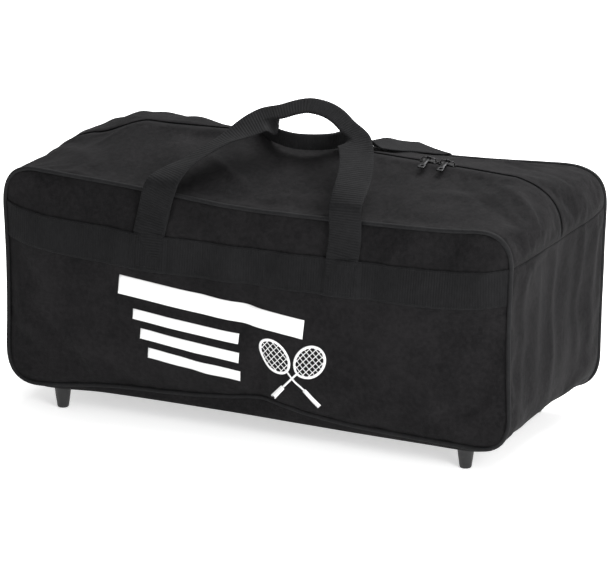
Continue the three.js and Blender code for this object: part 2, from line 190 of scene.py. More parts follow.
# ---------------------------------------------------------------- the bag's form
# The bag is cloth on cloth, held out by its filling. Its form starts from the piped seams round the two side
# panels; the strips between them stand out as a crown, and the whole settles under its own weight.
BODY = "bag_body"
PIPING_RADIUS = 3 * MM
CORNER = 60 * MM
CORNER_FULLNESS = 0.085
seam_low, seam_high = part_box("piping_front")
SEAM_X = seam_high.x - PIPING_RADIUS
SEAM_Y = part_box("piping_rear")[1].y - PIPING_RADIUS
SEAM_BOTTOM = seam_low.z + PIPING_RADIUS
SEAM_TOP = seam_high.z - PIPING_RADIUS
ARC_X = SEAM_X - CORNER
ARC_TOP = SEAM_TOP - CORNER
ARC_BOTTOM = SEAM_BOTTOM + CORNER
SIDE_RUN = ARC_TOP - ARC_BOTTOM
TOP_RUN = 2 * ARC_X
QUARTER = math.pi / 2 * CORNER
SEAM_LENGTH = 2 * (SIDE_RUN + TOP_RUN) + 4 * QUARTER
END_SEAM = math.radians(9)      # the end seams lie this far up the upper corners
END_CROWN = 6 * MM
LOW_CORNER = 11 * MM            # the strip is drawn in between the seams at the lower corners
LEFT_SHOULDER = 21 * MM
END_WAIST = 5 * MM              # the ends are drawn in half way up, towards the seams
DROOP_IN = 13 * MM              # the strip sags in a roll this far in from each low seam
DROOP_WIDTH = 8 * MM
REAR_DROOP = 0.35

slider_middle = [(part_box(f"slider_{side}")[0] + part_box(f"slider_{side}")[1]) / 2 for side in ("left", "right")]
SLIDERS_X = (slider_middle[0].x + slider_middle[1].x) / 2
travel = next(j for j in frame["record"]["behaviour"]["joints"] if j["name"] == "right_slider_travel")
RIDGE_SLOPE = travel["axis"][2] / travel["axis"][0]
RIDGE_AT_SLIDERS = 373.5 * MM
STRAIGHT_FROM = -225 * MM


def smooth(t):
    t = min(max(t, 0.0), 1.0)
    return t * t * (3 - 2 * t)


def curve_through(points):
    """A smooth function of x through the given (x, y) points, in millimetres, flat beyond its ends."""
    xs = [p[0] * MM for p in points]
    ys = [p[1] * MM for p in points]
    last = len(points) - 1
    slopes = [
        (ys[min(i + 1, last)] - ys[max(i - 1, 0)]) / (xs[min(i + 1, last)] - xs[max(i - 1, 0)])
        for i in range(last + 1)
    ]
    slopes[0] = slopes[-1] = 0

    def at(x):
        x = min(max(x, xs[0]), xs[-1])
        i = min(max(sum(1 for k in xs if k <= x) - 1, 0), last - 1)
        span = xs[i + 1] - xs[i]
        t = (x - xs[i]) / span
        return (
            (2 * t ** 3 - 3 * t ** 2 + 1) * ys[i] + (t ** 3 - 2 * t ** 2 + t) * span * slopes[i]
            + (3 * t ** 2 - 2 * t ** 3) * ys[i + 1] + (t ** 3 - t ** 2) * span * slopes[i + 1]
        )

    return at


# How far the seams, the ridge and the cloth between them have sunk or been drawn up along the bag's length.
front_top_sag = curve_through([(-375, 9), (-335, 6), (-290, 3), (-200, -2), (-110, -8), (-30, -14), (60, -15),
                               (200, -13), (290, -10), (375, -3)])
rear_top_sag = curve_through([(-375, -2), (-250, 0), (0, 0), (200, 4), (300, 9), (345, 12), (375, 15)])
rear_corner_out = curve_through([(300, 0), (335, 7), (375, 15)])
rear_fullness = curve_through([(-375, 2600), (-300, 2900), (-225, 2200), (-140, 1350), (-20, 1500), (120, 2300),
                               (375, 2500)])
front_bottom_lift = curve_through([(-375, 0), (-320, 3), (-225, 14), (-100, 19), (-40, 24), (8, 29), (40, 23),
                                   (80, 16), (150, 9), (300, 3), (375, 0)])
rear_bottom_lift = curve_through([(-375, 0), (-250, 5), (-60, 12), (120, 10), (280, 3), (375, 0)])
ridge_extra = curve_through([(-300, -8), (-225, -8), (-190, -7), (-140, -3), (-90, 1), (-30, 2), (60, 0),
                             (250, 0), (305, -0.6), (375, -0.6)])
rear_shoulder = curve_through([(-375, -13), (-338, 4), (-310, 16), (-283, 20), (-256, 12), (-229, 9), (-202, 10),
                               (-175, 14), (-148, 11), (-110, 5), (-60, 0), (375, 0)])
base_droop = curve_through([(-375, 4), (-310, 5), (-230, 1), (-50, 2), (80, 5), (250, 7), (320, 7), (375, -1)])


def ridge_height(x):
    return RIDGE_AT_SLIDERS + RIDGE_SLOPE * (x - SLIDERS_X)


def top_crown(x):
    if x >= STRAIGHT_FROM:
        return ridge_height(x) - SEAM_TOP + ridge_extra(x)
    t = (x + ARC_X) / (STRAIGHT_FROM + ARC_X)
    full = ridge_height(STRAIGHT_FROM) + ridge_extra(STRAIGHT_FROM) - SEAM_TOP
    return LEFT_SHOULDER + (full - LEFT_SHOULDER) * smooth(t)


def seam_at(along):
    """Place, outward direction and crown at a distance along the seam line, which starts at the middle of the
    right end and runs up, over the top to the left, and back along the base."""
    along %= SEAM_LENGTH
    half = SIDE_RUN / 2
    if along < half:
        return SEAM_X, ARC_TOP - half + along, 1, 0, END_CROWN
    along -= half
    if along < QUARTER:
        angle = along / CORNER
        rise = (angle / (math.pi / 2)) ** 1.3
        crown = END_CROWN + (top_crown(ARC_X) - END_CROWN) * rise
        return corner_place(ARC_X, ARC_TOP, angle) + (crown,)
    along -= QUARTER
    if along < TOP_RUN:
        x = ARC_X - along
        return x, SEAM_TOP, 0, 1, top_crown(x)
    along -= TOP_RUN
    if along < QUARTER:
        angle = along / CORNER
        rise = (1 - angle / (math.pi / 2)) ** 1.8
        return corner_place(-ARC_X, ARC_TOP, math.pi / 2 + angle) + (END_CROWN + (LEFT_SHOULDER - END_CROWN) * rise,)
    along -= QUARTER
    if along < SIDE_RUN:
        return -SEAM_X, ARC_TOP - along, -1, 0, END_CROWN
    along -= SIDE_RUN
    if along < QUARTER:
        angle = along / CORNER
        drawn_in = LOW_CORNER * math.sin(2 * angle) ** 2
        return corner_place(-ARC_X, ARC_BOTTOM, math.pi + angle) + (END_CROWN * math.cos(angle) ** 2 - drawn_in,)
    along -= QUARTER
    if along < TOP_RUN:
        return -ARC_X + along, SEAM_BOTTOM, 0, -1, 0
    along -= TOP_RUN
    if along < QUARTER:
        angle = along / CORNER
        drawn_in = LOW_CORNER * math.sin(2 * angle) ** 2
        return corner_place(ARC_X, ARC_BOTTOM, math.pi * 1.5 + angle) + (END_CROWN * math.sin(angle) ** 2 - drawn_in,)
    along -= QUARTER
    return SEAM_X, ARC_BOTTOM + along, 1, 0, END_CROWN


def corner_reach(angle):
    """The filling pushes the rounded corners out a little fuller than a quarter circle."""
    return CORNER * (1 + CORNER_FULLNESS * math.sin(2 * angle) ** 2)


def corner_place(centre_x, centre_z, angle):
    nx, nz = math.cos(angle), math.sin(angle)
    reach = corner_reach(angle)
    return centre_x + reach * nx, centre_z + reach * nz, nx, nz


RIGHT_END_SEAM = SIDE_RUN / 2 + END_SEAM * CORNER
LEFT_END_SEAM = SIDE_RUN / 2 + QUARTER + TOP_RUN + QUARTER - END_SEAM * CORNER


def settle(x, y, z):
    """Where a point of the full, even form goes once the bag has settled."""
    up = min(max((z - SEAM_BOTTOM) / (SEAM_TOP - SEAM_BOTTOM), 0), 1)
    edge = min(abs(y) / SEAM_Y, 1)
    sag = front_top_sag(x) if y < 0 else rear_top_sag(x)
    lift = front_bottom_lift(x) if y < 0 else rear_bottom_lift(x)
    drawn = lift * (1 - up) ** 3 * smooth((edge - 0.925) / 0.075)
    waist = END_WAIST * math.sin(math.pi * up) * smooth((abs(x) - 0.3) / 0.07)
    corner = rear_corner_out(x) * (0.65 + 0.35 * smooth(up / 0.6)) * smooth(y / SEAM_Y)
    return Vector((
        x - math.copysign(waist, x) * edge ** 4 + corner,
        y - math.copysign(0.5 * drawn, y),
        z + sag * up ** 2 * edge ** 1.5 + 0.86 * drawn,
    ))


def skin(along, y, lift=0.0):
    """A point of the strips between the two seams: along the seam line, across at y, and lifted off the cloth."""
    x, z, nx, nz, crown = seam_at(along)
    fullness = max(1 - abs(y / SEAM_Y) ** (1.5 if y < 0 else rear_fullness(x) / (1000 * MM)), 0)
    out = crown * fullness + lift
    if y > 0 and nz > 0:
        out += rear_shoulder(x) * math.sin(math.pi * y / SEAM_Y) * nz
    if nz < 0:
        share = 1 if y < 0 else REAR_DROOP
        out += share * base_droop(x) * math.exp(-((SEAM_Y - abs(y) - DROOP_IN) / DROOP_WIDTH) ** 2)
    return settle(x + nx * out, y, z + nz * out)


def seam_line(side, along):
    """The seam itself, on the front (side -1) or rear (side 1) panel."""
    x, z = seam_at(along)[:2]
    return settle(x, side * SEAM_Y, z)


# ---------------------------------------------------------------- bag cloth
# 600 denier polyester in a plain weave, black, coated on the back: matt, a little lighter where it catches
# light at a low angle, with a faint grain from its yarns and a soft bloom where folds have rubbed.
YARN_MM = 0.9                   # real yarns lie 0.45 mm apart; drawn twice as coarse so that they show
CLOTH_THICK = 0.9 * MM
SETTLE_FRAMES = 22
SEWN_WIDTH = 6 * MM               # how much of a cut's edge its seams hold still


def woven(name, colour, rubbed, yarn_mm, roughness, sheen, bump, crumple):
    """Plain woven cloth: yarns over and under on the cut's own UV map, with rubbed patches."""
    material, tree, shader = new_material(name)
    cut = add_node(tree, "ShaderNodeUVMap", {"uv_map": "cut"})
    turns = 2 * math.pi / (yarn_mm * MM) / 2
    scaled = add_node(tree, "ShaderNodeVectorMath", {"operation": "SCALE"},
                      {0: cut.outputs["UV"], "Scale": turns})
    axes = add_node(tree, "ShaderNodeSeparateXYZ", {}, {"Vector": scaled.outputs["Vector"]})
    warp = add_node(tree, "ShaderNodeMath", {"operation": "SINE"}, {0: axes.outputs["X"]})
    weft = add_node(tree, "ShaderNodeMath", {"operation": "SINE"}, {0: axes.outputs["Y"]})
    over = add_node(tree, "ShaderNodeMath", {"operation": "MULTIPLY"},
                    {0: warp.outputs[0], 1: weft.outputs[0]})
    slub = add_node(tree, "ShaderNodeTexNoise", {}, {"Vector": cut.outputs["UV"], "Scale": 900.0, "Detail": 2.0})
    height = add_node(tree, "ShaderNodeMath", {"operation": "MULTIPLY_ADD"},
                      {0: slub.outputs["Fac"], 1: 1.5, 2: over.outputs[0]})
    place = add_node(tree, "ShaderNodeTexCoord")
    patches = add_node(tree, "ShaderNodeTexNoise", {},
                       {"Vector": place.outputs["Object"], "Scale": 14.0, "Detail": 6.0, "Roughness": 0.62})
    soft = add_node(tree, "ShaderNodeMapRange", {},
                    {"Value": patches.outputs["Fac"], "From Min": 0.42, "From Max": 0.72})
    fine = add_node(tree, "ShaderNodeMapRange", {},
                    {"Value": slub.outputs["Fac"], "From Min": 0.35, "From Max": 0.65,
                     "To Min": 0.0, "To Max": 0.45})
    mottle = add_node(tree, "ShaderNodeTexNoise", {},
                      {"Vector": place.outputs["Object"], "Scale": 170.0, "Detail": 3.0, "Roughness": 0.6})
    specks = add_node(tree, "ShaderNodeMapRange", {},
                      {"Value": mottle.outputs["Fac"], "From Min": 0.35, "From Max": 0.7, "To Max": 0.5})
    speckled = add_node(tree, "ShaderNodeMath", {"operation": "ADD"}, {0: specks.outputs[0], 1: fine.outputs[0]})
    mix = add_node(tree, "ShaderNodeMath", {"operation": "MULTIPLY_ADD", "use_clamp": True},
                   {0: soft.outputs[0], 1: 0.5, 2: speckled.outputs[0]})
    tint = add_node(tree, "ShaderNodeMix", {"data_type": "RGBA"},
                    {"Factor": mix.outputs[0], "A": linear(colour), "B": linear(rubbed)})
    crush = add_node(tree, "ShaderNodeTexNoise", {},
                     {"Vector": place.outputs["Object"], "Scale": 75.0, "Detail": 5.0, "Roughness": 0.55,
                      "Distortion": 0.6})
    crushed = add_node(tree, "ShaderNodeBump", {},
                       {"Height": crush.outputs["Fac"], "Strength": crumple, "Distance": 3.0 * MM})
    grain = add_node(tree, "ShaderNodeBump", {},
                     {"Height": height.outputs[0], "Strength": bump, "Distance": 0.15 * MM,
                      "Normal": crushed.outputs["Normal"]})
    tree.links.new(tint.outputs["Result"], shader.inputs["Base Color"])
    tree.links.new(grain.outputs["Normal"], shader.inputs["Normal"])
    shader.inputs["Roughness"].default_value = roughness
    shader.inputs["IOR"].default_value = 1.5
    shader.inputs["Specular IOR Level"].default_value = 0.1
    shader.inputs["Sheen Weight"].default_value = sheen
    shader.inputs["Sheen Roughness"].default_value = 0.45
    shader.inputs["Sheen Tint"].default_value = linear("#cfcfd2")
    return material


bag_cloth = woven("polyester_plain_weave", "#09090a", "#1d1c1d", YARN_MM, 0.88, 0.012, 0.7, 0.45)


def cloth_grid(name, columns, rows, place, flat, material, flip=False):
    """A cut of cloth as a grid of squares. place(u, v) puts each point, with u and v from 0 to 1; the UV map
    holds the cut's flat size in metres."""
    mesh = bmesh.new()
    cut = mesh.loops.layers.uv.new("cut")
    bmesh.ops.create_grid(mesh, x_segments=columns, y_segments=rows, size=0.5)
    for face in mesh.faces:
        for loop in face.loops:
            loop[cut].uv = ((loop.vert.co.x + 0.5) * flat[0], (loop.vert.co.y + 0.5) * flat[1])
    edge_layer = mesh.verts.layers.float.new("edge")
    for vert in mesh.verts:
        u, v = vert.co.x + 0.5, vert.co.y + 0.5
        vert[edge_layer] = min(u * flat[0], (1 - u) * flat[0], v * flat[1], (1 - v) * flat[1])
        vert.co = place(u, v)
    if flip:
        bmesh.ops.reverse_faces(mesh, faces=mesh.faces)
    return new_piece(name, mesh, material)


def ridge_of(x, y, fold):
    """Height of one fold at a point of a cut: a long soft ridge from one place to another, in millimetres."""
    (ax, ay), (bx, by), width, height = fold
    dx, dy = bx - ax, by - ay
    t = ((x - ax) * dx + (y - ay) * dy) / (dx * dx + dy * dy)
    across = math.hypot(x - ax - dx * t, y - ay - dy * t) if 0 < t < 1 else math.inf
    if across > 3 * width:
        return 0.0
    return height * math.exp(-(across / width) ** 2) * math.sin(math.pi * t) ** 0.8


def undulation(point, size_mm, height_mm, seed):
    """Broad, slow unevenness of stuffed cloth."""
    at = Vector(point) / (size_mm * MM) + Vector((seed, 2.7 * seed, -seed))
    return (noise.noise(at) + 0.5 * noise.noise(at * 2.1)) * height_mm * MM


def drape(piece, pinned, pressure, slack, most_mm):
    """Lets a cut of cloth settle: its sewn edge is held, it is a little longer than its seams leave room for,
    and the filling pushes it outwards. The result replaces the mesh."""
    start = np.array([v.co for v in piece.data.vertices])
    group = piece.vertex_groups.new(name="sewn")
    group.add(pinned, 1.0, "REPLACE")
    cloth = piece.modifiers.new("settle", "CLOTH")
    settings = cloth.settings
    settings.vertex_group_mass = "sewn"
    settings.quality = 5
    settings.mass = 0.12
    settings.air_damping = 3
    settings.tension_stiffness = 22
    settings.compression_stiffness = 22
    settings.shear_stiffness = 9
    settings.bending_stiffness = 1.5
    settings.tension_damping = settings.compression_damping = 8
    settings.shrink_min = settings.shrink_max = -slack
    settings.use_pressure = True
    settings.uniform_pressure_force = pressure
    settings.effector_weights.gravity = 0.15
    cloth.collision_settings.use_collision = False
    cloth.collision_settings.use_self_collision = False
    cloth.point_cache.frame_start = 1
    cloth.point_cache.frame_end = SETTLE_FRAMES
    scene = bpy.context.scene
    for step in range(1, SETTLE_FRAMES + 1):
        scene.frame_set(step)
    settled = piece.evaluated_get(bpy.context.evaluated_depsgraph_get()).to_mesh()
    end = np.array([v.co for v in settled.vertices])
    moved = end - start
    length = np.linalg.norm(moved, axis=1)
    most = most_mm * MM
    share = np.where(length > 1e-9, most * np.tanh(length / most) / np.maximum(length, 1e-9), 0)
    end = start + moved * share[:, None]
    piece.modifiers.remove(cloth)
    piece.vertex_groups.remove(group)
    scene.frame_set(1)
    piece.data.vertices.foreach_set("co", end.ravel())
    piece.data.update()


def sewn_edges(piece):
    """The points within a few millimetres of a cut's edge, which its seams hold."""
    edge = piece.data.attributes["edge"].data
    return [i for i in range(len(edge)) if edge[i].value < SEWN_WIDTH]


def finish_cloth(piece):
    """Rounds the grid once and gives the cloth its thickness, inwards."""
    rounder = piece.modifiers.new("round", "SUBSURF")
    rounder.levels = rounder.render_levels = 1
    wall = piece.modifiers.new("thickness", "SOLIDIFY")
    wall.thickness = CLOTH_THICK
    wall.offset = -1


# ---------------------------------------------------------------- front and rear panels
# Each side of the bag is one cut of cloth with rounded corners. The filling pushes it out in the middle, and
# it hangs in soft upright folds below the top seam, where the handles' pull has gathered it.
PANEL_BULGE = 11 * MM
SEAM_GROOVE = 3 * MM
GROOVE_WIDTH = 5 * MM
PANEL_COLUMNS = 100
PANEL_ROWS = 42
half_x, half_z = SEAM_X, (SEAM_TOP - SEAM_BOTTOM) / 2
middle_z = (SEAM_TOP + SEAM_BOTTOM) / 2


def panel_outline(u, v):
    """A point of the square from -1 to 1 moved into the panel's rounded outline, as x and height."""
    x, z = u * half_x, v * half_z
    ring = max(abs(u), abs(v))
    if ring < 1e-6:
        return x, middle_z + z
    edge_x, edge_z = u / ring * half_x, v / ring * half_z
    from_side, from_end = half_z - abs(edge_z), half_x - abs(edge_x)
    if from_side < CORNER and from_end < CORNER:
        t = from_end / CORNER if from_side < 1e-9 else -from_side / CORNER
        angle = math.pi / 4 * (1 + t)
        reach = corner_reach(angle)
        round_x = math.copysign(half_x - CORNER + reach * math.cos(angle), edge_x)
        round_z = math.copysign(half_z - CORNER + reach * math.sin(angle), edge_z)
        x += (round_x - edge_x) * ring ** 3
        z += (round_z - edge_z) * ring ** 3
    return x, middle_z + z


FRONT_FOLDS = [
    ((-312, 336), (-300, 268), 8, 2.6), ((-268, 338), (-262, 282), 9, 2.8), ((-205, 334), (-212, 270), 10, -1.8),
    ((-84, 326), (-74, 284), 10, 2.8), ((-30, 322), (-26, 284), 9, 2.6), ((18, 320), (24, 282), 10, 3.0),
    ((72, 320), (80, 286), 9, 2.2), ((222, 322), (196, 282), 11, 3.4), ((322, 322), (296, 284), 10, 2.6),
    ((362, 306), (322, 262), 9, 2.4), ((8, 58), (18, 150), 13, -5.0), ((44, 56), (92, 128), 12, 3.0),
    ((-40, 60), (-92, 118), 13, 3.0), ((-230, 48), (-250, 120), 14, 2.4), ((180, 44), (210, 110), 14, 2.0),
    ((-362, 232), (-348, 90), 10, 2.4), ((358, 220), (340, 96), 11, -2.4),
]
REAR_FOLDS = [
    ((-300, 334), (-290, 276), 9, 2.8), ((-210, 332), (-222, 280), 10, 2.4), ((-60, 328), (-50, 286), 10, 2.6),
    ((40, 328), (30, 284), 11, 3.0), ((230, 328), (250, 280), 10, 2.8), ((330, 318), (304, 268), 10, 2.4),
    ((-40, 46), (-20, 130), 14, -4.0), ((120, 44), (150, 116), 13, 2.8), ((-220, 42), (-236, 110), 13, 2.4),
]


def panel_place(side, folds, seed):
    def place(u, v):
        x, z = panel_outline(2 * u - 1, 2 * v - 1)
        across, up = abs(x) / half_x, abs(z - middle_z) / half_z
        full = (1 - across ** 7) * (1 - up ** 4)
        inside = smooth(full / 0.35)
        from_edge = min((1 - up) * half_z, (1 - across) * half_x)
        out = PANEL_BULGE * full - SEAM_GROOVE * math.exp(-(from_edge / GROOVE_WIDTH) ** 2)
        out += inside * undulation((x, side, z), 95, 3.0, seed)
        out += sum(ridge_of(x / MM, z / MM, fold) for fold in folds) * 1.5 * MM * smooth(full / 0.2)
        point = settle(x, side * SEAM_Y, z)
        point.y += side * out
        return point

    return place


panel_cut = (2 * SEAM_X, SEAM_TOP - SEAM_BOTTOM)
side_panels = {}
for side, name, folds, seed in ((-1, "front", FRONT_FOLDS, 3.1), (1, "rear", REAR_FOLDS, 8.4)):
    panel = cloth_grid(f"{name}_panel_cloth", PANEL_COLUMNS, PANEL_ROWS, panel_place(side, folds, seed),
                       panel_cut, bag_cloth, flip=side > 0)
    drape(panel, sewn_edges(panel), 1.2, 0.012, 7)
    finish_cloth(panel)
    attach(panel, BODY)
    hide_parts(f"{name}_panel")
    side_panels[name] = panel

# ---------------------------------------------------------------- top halves
# The top is two long cuts that run from one end seam over to the other, joined by the zip along the ridge.
# The cloth is turned under beside the zip and drawn into creases where the top rounds down to the ends.
ZIP_SLOT = 3.6 * MM               # from the middle of the zip to each turned edge
HELD_BY_ZIP = 11 * MM             # the turned edge and its topstitching
TOP_FOLDS = {
    "front": [
        ((405, 25), (520, 95), 7, 3.2), ((300, 40), (420, 18), 9, 2.0), ((80, 96), (200, 70), 12, 3.0),
        ((25, 30), (150, 110), 9, -2.4), ((15, 70), (120, 135), 8, 2.6), ((900, 20), (1000, 60), 9, 2.6),
        ((860, 95), (1010, 120), 11, 2.6), ((640, 30), (760, 120), 14, 2.6), ((520, 20), (560, 110), 12, 2.0),
    ],
    "rear": [
        ((60, 30), (210, 80), 9, 2.8), ((20, 90), (150, 60), 9, -2.4), ((830, 120), (1000, 135), 8, 3.0),
        ((840, 96), (1020, 104), 8, 3.0), ((850, 60), (990, 76), 9, 2.6), ((330, 60), (460, 110), 13, 2.6),
        ((560, 40), (700, 90), 14, 2.6),
    ],
}
top_length = LEFT_END_SEAM - RIGHT_END_SEAM
top_cut = (top_length, SEAM_Y - ZIP_SLOT)


def pucker(y, from_end):
    """Small gathers that the end seams draw in the cloth on both sides of them."""
    gather = 1.5 * MM * noise.noise(Vector((y * 75, 4.0, 0.0)))
    return gather * smooth(from_end / (8 * MM)) * math.exp(-from_end / (28 * MM))


def top_place(side, folds, seed):
    def place(u, v):
        along = RIGHT_END_SEAM + u * top_length
        y = side * (SEAM_Y + v * (ZIP_SLOT - SEAM_Y))
        across = v * top_cut[1]
        from_seam = min(across, u * top_length, (1 - u) * top_length)
        from_zip = (1 - v) * top_cut[1]
        inside = smooth(from_seam / (30 * MM)) * smooth(from_zip / (25 * MM))
        lift = -2.3 * MM * (1 - smooth(from_seam / (9 * MM)))
        lift += 0.8 * MM * math.exp(-((from_zip - 5 * MM) / (3 * MM)) ** 2)
        lift += inside * undulation((u * 1.1, across, seed * 0.01), 85, 4.0, seed)
        lift += inside * sum(ridge_of(u * top_length / MM, across / MM, fold) for fold in folds) * 1.3 * MM
        lift += pucker(y, min(u, 1 - u) * top_length)
        return skin(along, y, lift)

    return place


for side, name, seed in ((-1, "front", 5.2), (1, "rear", 9.9)):
    half = cloth_grid(f"top_{name}_cloth", 170, 32, top_place(side, TOP_FOLDS[name], seed), top_cut, bag_cloth,
                      flip=side > 0)
    by_zip = [v.index for v in half.data.vertices if abs(v.co.y) < ZIP_SLOT + HELD_BY_ZIP]
    drape(half, sewn_edges(half) + by_zip, 1.0, 0.014, 6)
    finish_cloth(half)
    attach(half, BODY)
    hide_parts(f"top_half_{name}")

# ---------------------------------------------------------------- base and ends
# One long strip makes both ends and the base. It lies flat under the base board, and its free ends hang in
# soft upright folds from the end seams.
base_length = SEAM_LENGTH - top_length
base_cut = (base_length, 2 * SEAM_Y)
END_FOLDS = [(-118, 9, 2.6), (-74, 14, 2.2), (-21, 10, 3.2), (26, 16, 1.8), (64, 9, 2.4), (108, 12, 2.8)]


def base_place(u, v):
    along = LEFT_END_SEAM + u * base_length
    y = SEAM_Y * (2 * v - 1)
    x, z, nx, nz, crown = seam_at(along)
    from_end = min(u, 1 - u) * base_length
    from_side = min(v, 1 - v) * base_cut[1]
    upright = abs(nx)
    inside = smooth(from_side / (25 * MM)) * smooth(from_end / (20 * MM))
    lift = -2.1 * MM * (1 - smooth(min(from_side, from_end) / (9 * MM)))
    hang = smooth(from_end / (30 * MM)) * smooth((z - 70 * MM) / (60 * MM)) * upright
    drift = 26 * (1 - from_end / (200 * MM))
    for place_mm, width, height in END_FOLDS:
        sway = 9 * noise.noise(Vector((place_mm, z * 14, math.copysign(3, x))))
        across = (y / MM - place_mm - math.copysign(drift, x) * 0.4 - sway) / width
        lift += hang * height * MM * math.exp(-across ** 2) * smooth(from_side / (20 * MM))
    lift += inside * upright * undulation((x, y, z), 90, 4.0, 1.7) + pucker(y, from_end)
    return skin(along, y, lift)


base = cloth_grid("base_and_ends_cloth", 160, 52, base_place, base_cut, bag_cloth, flip=False)
under_board = [v.index for v in base.data.vertices
               if v.co.z < SEAM_BOTTOM + 6 * MM and abs(v.co.x) < ARC_X + 12 * MM]
drape(base, sewn_edges(base) + under_board, 1.0, 0.012, 6)
finish_cloth(base)
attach(base, BODY)
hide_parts("base_and_ends")

# ---------------------------------------------------------------- piping
# A 4 mm cord in a bias strip of the same cloth, sewn in between each side panel and the strips. The bias
# cloth is drawn tight over the cord, so it is smoother; its colour is painted a touch lighter than the flat
# cloth, a painted highlight along the rounded cord.
piping_cloth = woven("bias_cut_piping", "#121213", "#1f1f20", YARN_MM, 0.7, 0.01, 0.3, 0.1)


def sweep(name, line, ring, material):
    """Draws a cross-section round a closed line of (place, out, across) frames. ring is a list of (out, across)
    offsets; the UV map runs along the line and round the section in metres."""
    mesh = bmesh.new()
    cut = mesh.loops.layers.uv.new("cut")
    rows = [[mesh.verts.new(p + out * a + across * b) for a, b in ring] for p, out, across in line]
    round_ring = [0.0]
    for k in range(len(ring)):
        (a0, b0), (a1, b1) = ring[k], ring[(k + 1) % len(ring)]
        round_ring.append(round_ring[-1] + math.hypot(a1 - a0, b1 - b0))
    travelled = 0.0
    for i in range(len(line)):
        here, ahead = rows[i], rows[(i + 1) % len(rows)]
        step = (line[(i + 1) % len(line)][0] - line[i][0]).length
        for k in range(len(ring)):
            n = (k + 1) % len(ring)
            face = mesh.faces.new((here[k], here[n], ahead[n], ahead[k]))
            at = ((travelled, round_ring[k]), (travelled, round_ring[k + 1]),
                  (travelled + step, round_ring[k + 1]), (travelled + step, round_ring[k]))
            for loop, uv in zip(face.loops, at):
                loop[cut].uv = uv
        travelled += step
    bmesh.ops.recalc_face_normals(mesh, faces=mesh.faces)
    return new_piece(name, mesh, material)


def circle_ring(radius, sides=12):
    return [(radius * math.cos(2 * math.pi * k / sides), radius * math.sin(2 * math.pi * k / sides))
            for k in range(sides)]


def seam_frames(side, count):
    frames = []
    for i in range(count):
        along = SEAM_LENGTH * i / count
        x, z, nx, nz, crown = seam_at(along)
        wobble = 0.35 * MM * noise.noise(Vector((along * 28, side * 3.0, 0)))
        frames.append((seam_line(side, along) + Vector((nx, 0, nz)) * wobble, Vector((nx, 0, nz)), Vector((0, 1, 0))))
    return frames


for side, name in ((-1, "front"), (1, "rear")):
    piping = sweep(f"piping_{name}_cord", seam_frames(side, 520), circle_ring(PIPING_RADIUS), piping_cloth)
    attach(piping, BODY)
    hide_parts(f"piping_{name}")

# ---------------------------------------------------------------- seam binding
# Inside the bag, folded tape covers the raw edges of each piped seam all the way round.
binding_tape = woven("woven_binding_tape", "#111112", "#1a1a1b", 0.8, 0.88, 0.02, 0.3, 0.05)
BINDING_WIDTH = 9 * MM
for side, name in ((-1, "front"), (1, "rear")):
    frames = [
        (p - out * 5.4 * MM - Vector((0, side * 8 * MM, 0)), out, across)
        for p, out, across in seam_frames(side, 240)
    ]
    tape_ring = [(-0.7 * MM, -BINDING_WIDTH / 2), (0.7 * MM, -BINDING_WIDTH / 2), (0.9 * MM, 0),
                 (0.7 * MM, BINDING_WIDTH / 2), (-0.7 * MM, BINDING_WIDTH / 2), (-0.9 * MM, 0)]
    binding = sweep(f"seam_binding_{name}_tape", frames, tape_ring, binding_tape)
    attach(binding, BODY)
    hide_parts(f"seam_binding_{name}")

# ---------------------------------------------------------------- webbing bands
# 50 mm polypropylene webbing, woven with ribs across it, lies along each side under the handles. It is sewn
# down along both edges, so it takes the panel's form, and it sags a little between the ends and the middle.
WEBBING = 50 * MM
WEBBING_THICK = 1.9 * MM
BAND_THICK = 1.5 * MM
RIB_PITCH = 3.6 * MM
RIB_HIGH = 0.4 * MM
ROW_STEP = RIB_PITCH / 4
webbing_cloth = woven("ribbed_webbing", "#101011", "#1b1b1c", 0.8, 0.8, 0.015, 0.5, 0.05)
front_band_top = curve_through([(-375, 297), (-350, 292), (-300, 285), (-220, 279), (-142, 276), (0, 274),
                                (142, 275), (220, 276), (285, 277.5), (335, 282), (375, 288)])
rear_band_top = curve_through([(-375, 288), (-300, 280), (-142, 276), (0, 274.5), (142, 276), (300, 280),
                               (375, 288)])


def surface_tree(piece):
    """The finished surface of a piece, for laying other pieces on it."""
    return BVHTree.FromObject(piece, bpy.context.evaluated_depsgraph_get())


panel_surface = {-1: surface_tree(side_panels["front"]), 1: surface_tree(side_panels["rear"])}


def panel_out(side, x, z):
    """How far out the panel's face lies at a place on it."""
    for reach in (0, 4, 8, 14):
        inner_x = x - math.copysign(reach * MM, x)
        hit = panel_surface[side].ray_cast(Vector((inner_x, side * 0.3, z)), Vector((0, -side, 0)))[0]
        if hit is not None:
            return abs(hit.y)
    return SEAM_Y


